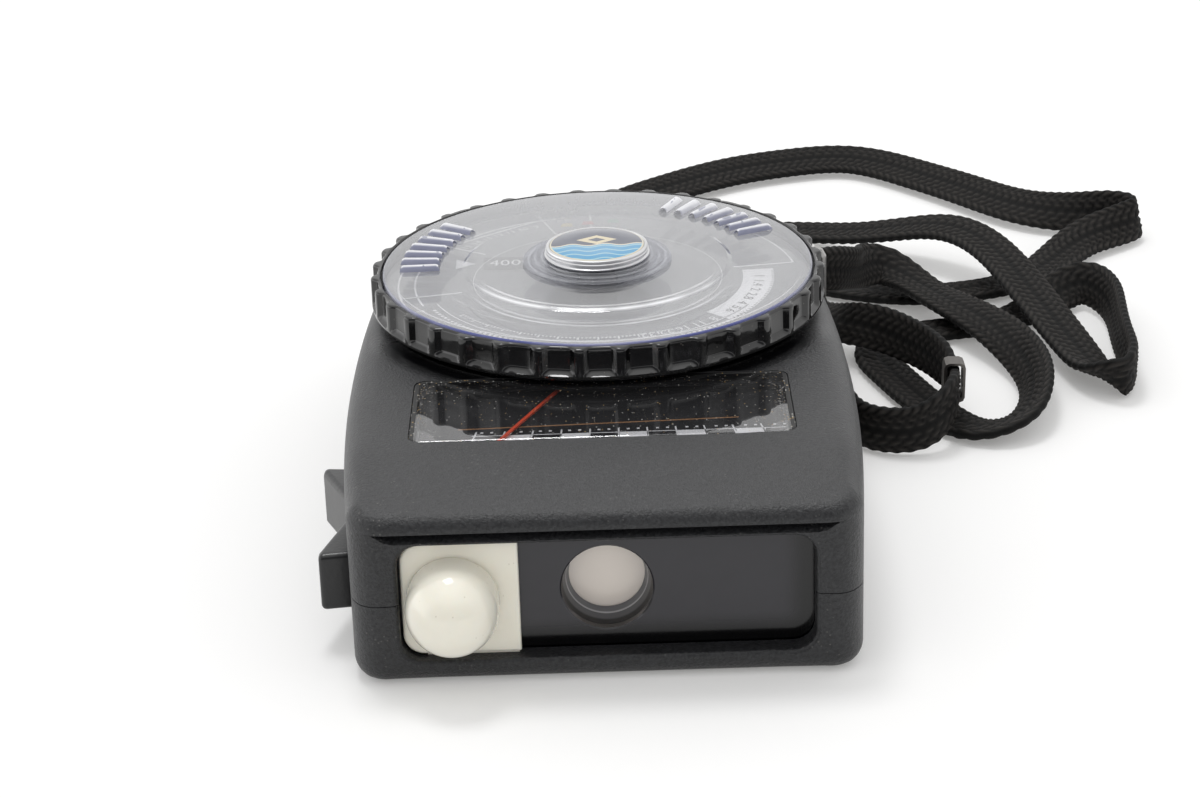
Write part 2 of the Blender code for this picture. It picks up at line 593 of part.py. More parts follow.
def scallop_profile(z_share, column_share):
    """How deep the ring's outer wall is cut at a height and at a place across one scallop."""
    across = 0 if column_share in (0, 1) else math.sin(math.pi * column_share) ** 0.25
    return z_share * across


def knurled_ring():
    bm = bmesh.new()
    half_pitch = math.pi / SCALLOPS
    sill = ring_low + SCALLOP_SILL
    rows = [(ring_low, RING_EDGE, 0), (ring_low + RING_EDGE, 0, 0), (sill, 0, 0), (sill + SCALLOP_RAMP, 0, 1),
            (ring_high - RING_EDGE, 0, 1), (ring_high, RING_EDGE, 1)]
    # Places across one pitch of the ring, and how far across the scallop each of them is
    column_shares = [(0, 0), (0.13, 0), (0.18, 0.12), (0.5, 0.5), (0.82, 0.88), (0.87, 1)]
    wall = []
    for z, edge, cut in rows:
        loop = []
        for n in range(SCALLOPS):
            for pitch_share, column in column_shares:
                a = math.tau * (n + pitch_share) / SCALLOPS + half_pitch
                r = RING_RADIUS - edge - SCALLOP_DEPTH * scallop_profile(cut, column)
                loop.append(bm.verts.new((r * math.cos(a), DIAL_Y + r * math.sin(a), z)))
        wall.append(loop)
    count = len(wall[0])
    inner = RING_RADIUS - RING_WALL
    sleeve_low = ring_low - SLEEVE_LENGTH
    every = len(column_shares)
    turns = [math.tau * n / SCALLOPS + half_pitch for n in range(SCALLOPS)]
    plain = [(inner, ring_high), (inner, floor_top), (ring_bore, floor_top), (ring_bore, sleeve_low),
             (SLEEVE_OUTER_RADIUS, sleeve_low), (SLEEVE_OUTER_RADIUS, ring_low)]
    inside = []
    for r, z in plain:
        inside.append([bm.verts.new((r * math.cos(a), DIAL_Y + r * math.sin(a), z)) for a in turns])
    for low, high in zip(wall, wall[1:]):
        for i in range(count):
            bm.faces.new((low[i], low[(i + 1) % count], high[(i + 1) % count], high[i]))
    for low, high in zip(inside, inside[1:]):
        for i in range(SCALLOPS):
            bm.faces.new((low[i], low[(i + 1) % SCALLOPS], high[(i + 1) % SCALLOPS], high[i]))
    for outer, inner_loop in ((wall[-1], inside[0]), (wall[0], inside[-1])):
        for n in range(SCALLOPS):
            span = [outer[(n * every + k) % count] for k in range(every + 1)]
            bm.faces.new(span + [inner_loop[(n + 1) % SCALLOPS], inner_loop[n]])
    return bm


dial_ring = solid("dial_ring", knurled_ring(), GLOSS_BLACK, origin=(0, DIAL_Y, 0))

scale_disc_low = floor_top + GAP
scale_disc_high = scale_disc_low + SCALE_DISC_THICKNESS
scale_disc = solid("scale_disc", turned_tube([(SCALE_DISC_RADIUS, scale_disc_low), (SCALE_DISC_RADIUS, scale_disc_high)],
                                             ring_bore, (0, DIAL_Y), 48), PRINT_DARK, origin=(0, DIAL_Y, 0))
clear_low = scale_disc_high + GAP
clear_high = clear_low + CLEAR_DISC_THICKNESS
step_high = clear_high + CLEAR_STEP
film_disc = solid("film_disc", turned_tube(
    [(CLEAR_RADIUS, clear_low), (CLEAR_RADIUS, clear_high - CLEAR_EDGE), (CLEAR_RADIUS - CLEAR_EDGE, clear_high),
     (CLEAR_STEP_RADIUS, clear_high), (CLEAR_STEP_RADIUS - CLEAR_STEP, step_high)],
    ring_bore, (0, DIAL_Y), 60), CLEAR, origin=(0, DIAL_Y, 0))


def grip_bars():
    bm = bmesh.new()
    for group in GRIP_GROUPS:
        for n in range(GRIPS):
            a = group + (n - (GRIPS - 1) / 2) * GRIP_PITCH
            mid = GRIP_INNER_RADIUS + GRIP_LENGTH / 2
            rings = []
            for z, width, shrink in ((clear_high - GAP, GRIP_WIDTH, 0),
                                     (clear_high + GRIP_HEIGHT, GRIP_TOP_WIDTH, (GRIP_WIDTH - GRIP_TOP_WIDTH) / 2)):
                ring = []
                for u, v in rounded(GRIP_LENGTH / 2 - shrink, width / 2, width / 2, 2):
                    r = mid + u
                    ring.append((r * math.cos(a) - v * math.sin(a), DIAL_Y + r * math.sin(a) + v * math.cos(a), z))
                rings.append(ring)
            loft(rings, bm)
    return bm


combine(film_disc, cutter("grip_bars", grip_bars()), "UNION")

hub_low = step_high + GAP
flange_top = hub_low + HUB_FLANGE_THICKNESS
hub_base = solid("hub_base", turned_tube([(HUB_FLANGE_RADIUS, hub_low), (HUB_FLANGE_RADIUS, flange_top - HUB_EDGE),
                                          (HUB_FLANGE_RADIUS - HUB_EDGE, flange_top)], ring_bore, (0, DIAL_Y), 48), CLEAR)
hub_top = flange_top + GAP + HUB_HEIGHT
hub_cap = solid("hub_cap", turned(
    [(HUB_RADIUS, flange_top + GAP), (HUB_RADIUS, flange_top + GAP + HUB_STEP),
     (HUB_RADIUS - HUB_STEP, flange_top + GAP + HUB_STEP), (HUB_RADIUS - HUB_STEP, hub_top - HUB_EDGE),
     (HUB_RADIUS - HUB_STEP - HUB_EDGE, hub_top)], (0, DIAL_Y), 48), ALUMINIUM)
emblem_seat = hub_top - EMBLEM_THICKNESS
combine(hub_cap, cutter("emblem_seat", turned(
    [(EMBLEM_RADIUS + GAP, emblem_seat), (EMBLEM_RADIUS + GAP, hub_top + OVERRUN)], (0, DIAL_Y), 40)))
hub_emblem = solid("hub_emblem", turned(
    [(EMBLEM_RADIUS, emblem_seat + GAP), (EMBLEM_RADIUS, hub_top + GAP / 2)], (0, DIAL_Y), 40), EMBLEM)
dial_post = solid("dial_post", turned([(POST_RADIUS, BOARD_TOP_Z + GAP), (POST_RADIUS, flange_top)],
                                      (0, DIAL_Y), 24), STEEL)
pot_high = ring_low - SLEEVE_LENGTH - GAP
potentiometer = solid("potentiometer", turned_tube(
    [(POT_RADIUS, BOARD_TOP_Z + GAP), (POT_RADIUS, POT_TOP_Z), (SLEEVE_OUTER_RADIUS, POT_TOP_Z),
     (SLEEVE_OUTER_RADIUS, pot_high)], ring_bore, (0, DIAL_Y), 28), BRASS)

# Rocker switch in a slot through the left side
rocker_high_z = ROCKER_LOW_Z + ROCKER_HEIGHT
side_x = -half_width(ROCKER_Y)
rocker_ends = (ROCKER_Y - ROCKER_LENGTH / 2, ROCKER_Y + ROCKER_LENGTH / 2)
pin_x = side_x + ROCKER_DEPTH - ROCKER_PIN_RADIUS * 2
rocker_back = side_x + ROCKER_DEPTH
slot = cutter("rocker_slot", block(
    (side_x - ROCKER_PROUD, rocker_ends[0] - ROCKER_SLOT_GAP, ROCKER_LOW_Z - ROCKER_SLOT_GAP),
    (side_x + WALL + OVERRUN, rocker_ends[1] + ROCKER_SLOT_GAP, rocker_high_z + ROCKER_SLOT_GAP)))
combine(top_shell, slot)
combine(bottom_shell, slot)
foot_half = ROCKER_LENGTH / 5
middle_x = side_x - ROCKER_PROUD + ROCKER_NOTCH
crown = -half_width(rocker_ends[0]) - ROCKER_PROUD, -half_width(rocker_ends[1]) - ROCKER_PROUD
neck_x = side_x + WALL + OVERRUN / 2
rocker_points = [
    (crown[0] + ROCKER_CORNER, rocker_ends[0]), (neck_x, rocker_ends[0] + ROCKER_CORNER),
    (neck_x, ROCKER_Y - foot_half), (rocker_back, ROCKER_Y - foot_half), (rocker_back, ROCKER_Y + foot_half),
    (neck_x, ROCKER_Y + foot_half), (neck_x, rocker_ends[1] - ROCKER_CORNER),
    (crown[1] + ROCKER_CORNER, rocker_ends[1]), (crown[1], rocker_ends[1] - ROCKER_CORNER),
    (crown[1], rocker_ends[1] - ROCKER_CROWN), (middle_x, ROCKER_Y + ROCKER_MIDDLE / 2),
    (middle_x, ROCKER_Y - ROCKER_MIDDLE / 2), (crown[0], rocker_ends[0] + ROCKER_CROWN),
    (crown[0], rocker_ends[0] + ROCKER_CORNER)]
rocker = solid("rocker", prism(rocker_points, ROCKER_LOW_Z, rocker_high_z), CASE,
               origin=(pin_x, ROCKER_Y, 0), smooth=False)
edge = rocker.modifiers.new("Edge", "BEVEL")
edge.width = ROCKER_CORNER / 2
edge.segments = 1
edge.limit_method = "ANGLE"
pin_hole = ROCKER_PIN_RADIUS + GAP
combine(rocker, cutter("rocker_pin_hole", turned(
    [(pin_hole, ROCKER_LOW_Z - OVERRUN), (pin_hole, rocker_high_z + OVERRUN)], (pin_x, ROCKER_Y), 16)))
rocker_pin = solid("rocker_pin", turned(
    [(ROCKER_PIN_RADIUS, WALL + GAP), (ROCKER_PIN_RADIUS, rocker_high_z + OVERRUN)], (pin_x, ROCKER_Y), 16), STEEL)
contact_x = rocker_back + CONTACT_THICKNESS
contact_points = [
    (contact_x, ROCKER_Y - CONTACT_LENGTH / 2), (contact_x + CONTACT_THICKNESS, ROCKER_Y - CONTACT_LENGTH / 2),
    (contact_x + CONTACT_THICKNESS, ROCKER_Y + CONTACT_LENGTH / 2), (contact_x, ROCKER_Y + CONTACT_LENGTH / 2)]
switch_contact = solid("switch_contact", prism(contact_points, BOARD_TOP_Z + GAP, BOARD_TOP_Z + CONTACT_HEIGHT), BRASS)

# Circuit board on standoffs, with holes for what passes through it
board_front, board_back = PANEL_Y + BOARD_FRONT_GAP, COVER_Y - PARTITION_THICKNESS - GAP * 3
circuit_board = solid("circuit_board", block(
    (-BOARD_HALF_WIDTH, board_front, BOARD_LOW_Z), (BOARD_HALF_WIDTH, board_back, BOARD_TOP_Z)), BOARD, smooth=False)
board_mid = (board_front + board_back) / 2
boss_places = [(side * x, FRONT_Y + y) for x, y in (
    (BOSS_FRONT_HALF_SPREAD, BOSS_FRONT_FROM_FRONT), (BOSS_BACK_HALF_SPREAD, BODY_LENGTH - BOSS_BACK_FROM_BACK)) for side in (-1, 1)]
board_cut = block((-BODY_LENGTH, ROCKER_Y - ROCKER_LENGTH / 2 - WALL, BOARD_LOW_Z - OVERRUN),
                  (rocker_back + GAP * 2, ROCKER_Y + ROCKER_LENGTH / 2 + WALL, BOARD_TOP_Z + OVERRUN))
combine(circuit_board, cutter("board_side", board_cut))
for n, place in enumerate(boss_places):
    combine(circuit_board, cutter("board_boss_%d" % n, turned(
        [(BOSS_RADIUS + GAP, BOARD_LOW_Z - OVERRUN), (BOSS_RADIUS + GAP, BOARD_TOP_Z + OVERRUN)], place, 20)))
standoff_places = [(0, board_front + STANDOFF_RADIUS * 2), (0, board_back - STANDOFF_RADIUS * 2),
                   (BOARD_HALF_WIDTH - STANDOFF_RADIUS * 2, board_mid), (rocker_back + STANDOFF_RADIUS * 4, board_mid)]
for n, place in enumerate(standoff_places):
    combine(bottom_shell, cutter("standoff_%d" % n, turned(
        [(STANDOFF_RADIUS, WALL / 2), (STANDOFF_RADIUS, BOARD_LOW_Z - GAP)], place, 16)), "UNION")

# Case screws run up from the underside into bosses of the top shell
boss_low = WALL + GAP
screw_top = SCREW_SUNK + SCREW_HEAD_HEIGHT + SCREW_LENGTH
for n, place in enumerate(boss_places):
    combine(top_shell, cutter("boss_%d" % n, turned(
        [(BOSS_RADIUS, boss_low), (BOSS_RADIUS, CAVITY_Z + GAP)], place, 20)), "UNION")
    combine(top_shell, cutter("boss_bore_%d" % n, turned(
        [(SCREW_RADIUS + GAP, boss_low - OVERRUN), (SCREW_RADIUS + GAP, screw_top + GAP)], place, 14)))
    combine(bottom_shell, cutter("screw_hole_%d" % n, turned(
        [(SCREW_HEAD_RADIUS + GAP, -OVERRUN), (SCREW_HEAD_RADIUS + GAP, SCREW_SUNK + SCREW_HEAD_HEIGHT + GAP),
         (SCREW_RADIUS + GAP, SCREW_SUNK + SCREW_HEAD_HEIGHT + GAP), (SCREW_RADIUS + GAP, WALL + OVERRUN)],
        place, 20)))
    screw = solid("case_screw_%d" % (n + 1), turned(
        [(SCREW_HEAD_RADIUS, SCREW_SUNK), (SCREW_HEAD_RADIUS, SCREW_SUNK + SCREW_HEAD_HEIGHT),
         (SCREW_RADIUS, SCREW_SUNK + SCREW_HEAD_HEIGHT), (SCREW_RADIUS, screw_top)], place, 16), STEEL)
    for k, (u, v) in enumerate(((SCREW_HEAD_RADIUS / 2, SCREW_SLOT_WIDTH / 2), (SCREW_SLOT_WIDTH / 2, SCREW_HEAD_RADIUS / 2))):
        combine(screw, cutter("screw_slot_%d_%d" % (n, k), block(
            (place[0] - u, place[1] - v, SCREW_SUNK - OVERRUN), (place[0] + u, place[1] + v, SCREW_SUNK + SCREW_SLOT_DEPTH))))

# Zero adjuster under the movement
zero_hole = ZERO_SCREW_RADIUS + GAP
combine(bottom_shell, cutter("zero_hole", turned(
    [(zero_hole, -OVERRUN), (zero_hole, WALL + OVERRUN)], (0, PIVOT_Y), 24)))
zero_top = SCREW_SUNK + ZERO_SCREW_HEIGHT
zero_screw = solid("zero_screw", turned(
    [(ZERO_SCREW_RADIUS, SCREW_SUNK), (ZERO_SCREW_RADIUS, zero_top), (STANDOFF_RADIUS, zero_top),
     (STANDOFF_RADIUS, BOARD_LOW_Z - GAP)], (0, PIVOT_Y), 24), BRASS, origin=(0, PIVOT_Y, 0))
combine(zero_screw, cutter("zero_slot", block(
    (-ZERO_SCREW_RADIUS - OVERRUN, PIVOT_Y - SCREW_SLOT_WIDTH / 2, SCREW_SUNK - OVERRUN),
    (ZERO_SCREW_RADIUS + OVERRUN, PIVOT_Y + SCREW_SLOT_WIDTH / 2, SCREW_SUNK + SCREW_SLOT_DEPTH))))

# Battery cover: the part of the case's own form below the battery, so that it wraps the back edge
cover_hole = cutter("cover_hole", block((-COVER_HALF_WIDTH - GAP, COVER_Y - GAP, -OVERRUN),
                                        (COVER_HALF_WIDTH + GAP, BACK_Y + OVERRUN, COVER_THICKNESS + GAP)))
combine(bottom_shell, cutter("battery_opening", block(
    (-COVER_HALF_WIDTH + WALL, COVER_Y + WALL, COVER_THICKNESS),
    (COVER_HALF_WIDTH - WALL, BACK_Y - WALL - GAP, WALL + OVERRUN))))
combine(bottom_shell, cover_hole)
battery_cover = solid("battery_cover", case_form(0, NOSE_Y, 0, DECK_Z, BOTTOM_EDGE_RADIUS, TOP_EDGE_RADIUS), CASE)
keep = cutter("cover_keep", block((-COVER_HALF_WIDTH, COVER_Y, -OVERRUN),
                                  (COVER_HALF_WIDTH, BACK_Y + OVERRUN, COVER_THICKNESS)))
combine(battery_cover, keep, "INTERSECT")
for n in range(COVER_GRIP_RIBS):
    y = BACK_Y - COVER_GRIP_FROM_BACK - n * COVER_GRIP_PITCH
    combine(battery_cover, cutter("cover_grip_%d" % n, block(
        (-COVER_GRIP_LENGTH / 2, y - COVER_GRIP_WIDTH / 2, -OVERRUN),
        (COVER_GRIP_LENGTH / 2, y + COVER_GRIP_WIDTH / 2, COVER_GRIP_DEPTH))))
combine(bottom_shell, cutter("partition", block(
    (-BOARD_HALF_WIDTH, COVER_Y - PARTITION_THICKNESS, WALL / 2),
    (BOARD_HALF_WIDTH, COVER_Y, PARTITION_HEIGHT))), "UNION")
battery_low = COVER_THICKNESS + GAP * 2
battery = solid("battery", prism(rounded(
    BATTERY_LENGTH / 2, BATTERY_DEPTH / 2, BATTERY_CORNER_RADIUS, 3, centre=(0, BATTERY_Y)),
    battery_low, battery_low + BATTERY_HEIGHT), CELL_CAN)
snap_x = BATTERY_LENGTH / 2 + GAP
snap_mid_z = battery_low + BATTERY_HEIGHT / 2
battery_snap = solid("battery_snap", block(
    (snap_x, BATTERY_Y - SNAP_WIDTH / 2, snap_mid_z - SNAP_HEIGHT / 2),
    (snap_x + SNAP_THICKNESS, BATTERY_Y + SNAP_WIDTH / 2 - SNAP_THICKNESS, snap_mid_z + SNAP_HEIGHT / 2)), PRINT_DARK,
    smooth=False)

# Strap lug: a wire staple let into the top shell's right side
lug_x = half_width(LUG_Y)
lug_high_z = LUG_LOW_Z + LUG_HEIGHT
wire = LUG_WIRE / 2
lug_outer = lug_x + LUG_PROUD
lug_points = [(lug_x - LUG_SUNK, LUG_LOW_Z), (lug_outer - LUG_WIRE, LUG_LOW_Z), (lug_outer - LUG_WIRE / 3, LUG_LOW_Z + LUG_WIRE / 3),
              (lug_outer, LUG_LOW_Z + LUG_WIRE), (lug_outer, lug_high_z - LUG_WIRE),
              (lug_outer - LUG_WIRE / 3, lug_high_z - LUG_WIRE / 3), (lug_outer - LUG_WIRE, lug_high_z),
              (lug_x - LUG_SUNK, lug_high_z)]


def wire_along(name, points, radius, mat):
    curve = bpy.data.curves.new(name, "CURVE")
    curve.dimensions = "3D"
    curve.bevel_depth = radius
    curve.bevel_resolution = 2
    curve.use_fill_caps = True
    curve.resolution_u = 1
    curve.render_resolution_u = 0
    spline = curve.splines.new("POLY")
    spline.points.add(len(points) - 1)
    for point, place in zip(spline.points, points):
        point.co = (*place, 1.0)
    obj = bpy.data.objects.new(name, curve)
    bpy.context.scene.collection.objects.link(obj)
    curve.materials.append(mat)
    return obj


strap_lug = wire_along("strap_lug", [(x, LUG_Y, z) for x, z in lug_points], wire, STEEL)
for n, z in enumerate((LUG_LOW_Z, lug_high_z)):
    hole = turned([(wire + GAP, 0), (wire + GAP, LUG_SUNK + GAP + OVERRUN)], sides=12)
    for v in hole.verts:
        x, y, along = v.co
        v.co = (lug_x - LUG_SUNK - GAP + along, LUG_Y + x, z + y)
    combine(top_shell, cutter("lug_hole_%d" % n, hole))

# Neck strap: one flat braid, from the front side of the lug, round in loose loops, and back to the lug
STRAP_WIDTH = 0.0076
STRAP_THICKNESS = 0.0020
STRAP_EDGE = 0.0007
STRAP_STEPS = 2           # sections from one route point to the next
CLIP_POINT = 7.6          # where the clip sits, counted in route points
CLIP_SQUEEZE = 0.0024     # how much narrower the clip crimps the braid
CLIP_EASE = 1.1           # route points over which the crimp eases out
CLIP_WALL = 0.0004
CLIP_LENGTH = 0.0032
# Route points: place of the braid's middle, and its tilt in degrees, 0 lying flat and 90 on edge
STRAP_ROUTE = [
    (0.0339, 0.0384, 0.0182, 90), (0.0354, 0.0300, 0.0148, 90), (0.0374, 0.0205, 0.0080, 90),
    (0.0394, 0.0134, 0.0044, 90), (0.0436, 0.0094, 0.0041, 90), (0.0488, 0.0086, 0.0047, 90),
    (0.0527, 0.0106, 0.0064, 90), (0.0550, 0.0160, 0.0073, 90), (0.0554, 0.0235, 0.0073, 88),
    (0.0536, 0.0315, 0.0072, 84), (0.0496, 0.0395, 0.0070, 74), (0.0445, 0.0455, 0.0068, 58),
    (0.0386, 0.0515, 0.0056, 32), (0.0336, 0.0612, 0.0043, 10), (0.0270, 0.0708, 0.0035, 0),
    (0.0162, 0.0802, 0.0027, -4), (0.0058, 0.0900, 0.0021, -10), (0.0010, 0.1030, 0.0024, -14),
    (0.0035, 0.1180, 0.0027, -18), (0.0125, 0.1275, 0.0028, -20), (0.0255, 0.1365, 0.0029, -22),
    (0.0385, 0.1415, 0.0029, -22), (0.0505, 0.1420, 0.0029, -22), (0.0615, 0.1325, 0.0030, -24),
    (0.0705, 0.1210, 0.0033, -28), (0.0790, 0.1100, 0.0037, -36), (0.0880, 0.1050, 0.0041, -54),
    (0.0954, 0.1042, 0.0043, -76), (0.0988, 0.1012, 0.0043, -100), (0.0956, 0.0976, 0.0041, -122),
    (0.0880, 0.0930, 0.0032, -150), (0.0805, 0.0845, 0.0018, -172), (0.0725, 0.0770, 0.0013, -180),
    (0.0635, 0.0735, 0.0013, -180), (0.0540, 0.0730, 0.0013, -180), (0.0450, 0.0760, 0.0013, -180),
    (0.0360, 0.0815, 0.0013, -180), (0.0270, 0.0875, 0.0013, -180), (0.0210, 0.0950, 0.0013, -180),
    (0.0215, 0.1025, 0.0014, -180), (0.0285, 0.1050, 0.0018, -182), (0.0375, 0.1020, 0.0028, -184),
    (0.0470, 0.0970, 0.0042, -186), (0.0555, 0.0930, 0.0062, -190), (0.0625, 0.0880, 0.0080, -194),
    (0.0680, 0.0800, 0.0080, -190), (0.0720, 0.0675, 0.0068, -186), (0.0752, 0.0535, 0.0052, -184),
    (0.0782, 0.0405, 0.0036, -178), (0.0808, 0.0308, 0.0032, -150), (0.0834, 0.0272, 0.0041, -106),
    (0.0856, 0.0310, 0.0043, -92), (0.0862, 0.0410, 0.0042, -96), (0.0870, 0.0525, 0.0042, -100),
    (0.0870, 0.0630, 0.0042, -106), (0.0836, 0.0690, 0.0040, -124), (0.0780, 0.0665, 0.0024, -158),
    (0.0715, 0.0615, 0.0013, -178), (0.0635, 0.0575, 0.0013, -180), (0.0550, 0.0555, 0.0013, -180),
    (0.0482, 0.0516, 0.0013, -180), (0.0460, 0.0452, 0.0013, -180), (0.0478, 0.0370, 0.0013, -180),
    (0.0506, 0.0285, 0.0013, -180), (0.0538, 0.0208, 0.0013, -180), (0.0588, 0.0144, 0.0014, -176),
    (0.0646, 0.0148, 0.0025, -156), (0.0684, 0.0210, 0.0035, -136), (0.0698, 0.0295, 0.0039, -130),
    (0.0688, 0.0390, 0.0042, -140), (0.0654, 0.0485, 0.0049, -160), (0.0608, 0.0575, 0.0050, -172),
    (0.0568, 0.0660, 0.0046, -180), (0.0534, 0.0720, 0.0051, -168), (0.0494, 0.0744, 0.0065, -134),
    (0.0460, 0.0704, 0.0080, -106), (0.0440, 0.0625, 0.0106, -84), (0.0418, 0.0540, 0.0138, -76),
    (0.0384, 0.0470, 0.0166, -84), (0.0339, 0.0416, 0.0182, -90),
]


def smooth_through(points, steps):
    """A natural cubic spline through the points, spaced by the root of their distances."""
    p = np.array(points)
    gaps = np.linalg.norm(np.diff(p[:, :3], axis=0), axis=1) ** 0.5
    n = len(p)
    matrix, right = np.eye(n), np.zeros_like(p)
    for i in range(1, n - 1):
        matrix[i, i - 1:i + 2] = gaps[i - 1], 2 * (gaps[i - 1] + gaps[i]), gaps[i]
        right[i] = 6 * ((p[i + 1] - p[i]) / gaps[i] - (p[i] - p[i - 1]) / gaps[i - 1])
    bend = np.linalg.solve(matrix, right)
    out = []
    for k in range((n - 1) * steps + 1):
        i = min(k // steps, n - 2)
        g, u = gaps[i], (k / steps - i) * gaps[i]
        v = g - u
        out.append((bend[i] * v ** 3 + bend[i + 1] * u ** 3) / (6 * g)
                   + (p[i] / g - bend[i] * g / 6) * v + (p[i + 1] / g - bend[i + 1] * g / 6) * u)
    return np.array(out)


def strap_frames(steps):
    q = smooth_through(STRAP_ROUTE, steps)
    along = np.gradient(q[:, :3], axis=0)
    along /= np.linalg.norm(along, axis=1)[:, None]
    side = np.cross(along, (0, 0, 1))
    side /= np.linalg.norm(side, axis=1)[:, None]
    up = np.cross(side, along)
    tilt = np.radians(q[:, 3])[:, None]
    wide = side * np.cos(tilt) + up * np.sin(tilt)
    return q[:, :3], along, wide, np.cross(wide, along)


def strap_half_width(point):
    away = min(abs(point - CLIP_POINT) / CLIP_EASE, 1)
    return (STRAP_WIDTH - CLIP_SQUEEZE * (1 + math.cos(math.pi * away)) / 2) / 2


centre, along, wide, flat = strap_frames(STRAP_STEPS)
rings = []
for k, (c, w, f) in enumerate(zip(centre, wide, flat)):
    reach, thick = strap_half_width(k / STRAP_STEPS), STRAP_THICKNESS / 2
    section = ((reach, 0), (reach - STRAP_EDGE, thick), (STRAP_EDGE - reach, thick), (-reach, 0),
               (STRAP_EDGE - reach, -thick), (reach - STRAP_EDGE, -thick))
    rings.append([tuple(c + w * u + f * v) for u, v in section])
strap = solid("strap", loft(rings), STRAP)

# The least gap of the braid to itself, measured across its thickness and its width at sampled points
fine, fine_along, fine_wide, fine_flat = strap_frames(8)
least = STRAP_WIDTH
spread = np.linspace(-STRAP_WIDTH / 2, STRAP_WIDTH / 2, 5)
for i in range(0, len(fine), 2):
    for j in range(i + 40, len(fine), 2):
        if np.abs(fine[i] - fine[j]).max() > STRAP_WIDTH + STRAP_THICKNESS:
            continue
        offsets = fine[j] + spread[:, None] * fine_wide[j] - fine[i]
        level = abs(float(fine_flat[i] @ fine_flat[j]))
        inside = np.abs(offsets @ fine_along[i]) < STRAP_THICKNESS / 2
        across = np.abs(offsets @ fine_wide[i]) - STRAP_WIDTH / 2 - STRAP_THICKNESS / 2 * math.sqrt(max(0, 1 - level ** 2))
        through = np.abs(offsets @ fine_flat[i]) - STRAP_THICKNESS / 2 * (1 + level)
        if inside.any():
            least = min(least, float(np.maximum(across, through)[inside].min()))
length = float(np.linalg.norm(np.diff(fine, axis=0), axis=1).sum())
print("strap: %.0f mm long, least gap to itself %.2f mm" % (length * 1000, least * 1000))

# The clip is a band crimped round the narrowed braid
at = int(round(CLIP_POINT * 8))
c, t, w, f = fine[at], fine_along[at], fine_wide[at], fine_flat[at]
inner = strap_half_width(CLIP_POINT) + GAP, STRAP_THICKNESS / 2 + GAP


def clip_band(half_wide, half_thick, half_long):
    points = rounded(half_wide, half_thick, half_thick / 2, 2)
    return loft([[tuple(c + t * s + w * u + f * v) for u, v in points] for s in (-half_long, half_long)])


strap_clip = solid("strap_clip", clip_band(inner[0] + CLIP_WALL, inner[1] + CLIP_WALL, CLIP_LENGTH / 2), STEEL)
combine(strap_clip, cutter("clip_hollow", clip_band(*inner, CLIP_LENGTH)))
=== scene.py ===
"""Looks of a hand-held exposure meter: moulded case, sliding dome, needle window, calculator dial and braided strap.

Metres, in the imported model's own frame: +Z up, the light window faces -Y, and the origin is the middle of the
flat underside.
"""
import math

import bmesh
import bpy
import numpy as np
from mathutils import Matrix, Vector


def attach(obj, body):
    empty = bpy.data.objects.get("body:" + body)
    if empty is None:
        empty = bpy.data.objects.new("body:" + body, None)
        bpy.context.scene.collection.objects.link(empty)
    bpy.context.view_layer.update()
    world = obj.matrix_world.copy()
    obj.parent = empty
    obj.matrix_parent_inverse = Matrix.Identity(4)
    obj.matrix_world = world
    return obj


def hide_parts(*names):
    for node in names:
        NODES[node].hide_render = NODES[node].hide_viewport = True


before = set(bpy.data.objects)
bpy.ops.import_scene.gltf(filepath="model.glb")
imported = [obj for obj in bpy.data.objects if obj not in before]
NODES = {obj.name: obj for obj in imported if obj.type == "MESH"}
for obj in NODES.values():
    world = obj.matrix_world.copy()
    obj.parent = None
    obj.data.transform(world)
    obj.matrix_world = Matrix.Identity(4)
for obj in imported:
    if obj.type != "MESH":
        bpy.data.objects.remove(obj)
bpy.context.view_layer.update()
GAP = 0.0003
DIAL = (0.0, 0.0096)         # the calculator dial's axis


# ---------------------------------------------------------------------------------------------
# Shader tools
# ---------------------------------------------------------------------------------------------

GENERATED, NORMAL_OUT, OBJECT = 0, 1, 3
SPECK_SPACING, SPECK_REACH = 2.6, 0.34


class Value:
    """What a shader socket gives. A sum written on it adds the Math node for that sum."""

    def __init__(self, finish, socket):
        self.finish, self.socket = finish, socket

    def math(self, operation, *others):
        return self.finish.node("ShaderNodeMath", {"operation": operation}, [self, *others])

    def sine(self):
        return self.math("SINE")

    def __add__(self, other):
        return self.math("ADD", other)

    __radd__ = __add__

    def __sub__(self, other):
        return self.math("SUBTRACT", other)

    def __rsub__(self, other):
        return self.finish.node("ShaderNodeMath", {"operation": "SUBTRACT"}, [other, self])

    def __mul__(self, other):
        return self.math("MULTIPLY", other)

    __rmul__ = __mul__

    def __truediv__(self, other):
        return self.math("DIVIDE", other)

    def __pow__(self, other):
        return self.math("POWER", other)

    def __abs__(self):
        return self.math("ABSOLUTE")

    def above(self, other):
        return self.math("GREATER_THAN", other)

    def below(self, other):
        return self.math("LESS_THAN", other)

    def near(self, place, reach):
        """1 where this is within reach of a place, else 0."""
        return abs(self - place).below(reach)

    def ramp(self, low, high):
        """0 at low, 1 at high, and smooth in between."""
        return self.finish.node("ShaderNodeMapRange", {"interpolation_type": "SMOOTHSTEP"},
                                {"Value": self, "From Min": low, "From Max": high})

    def either(self, other):
        return self.math("MAXIMUM", other)


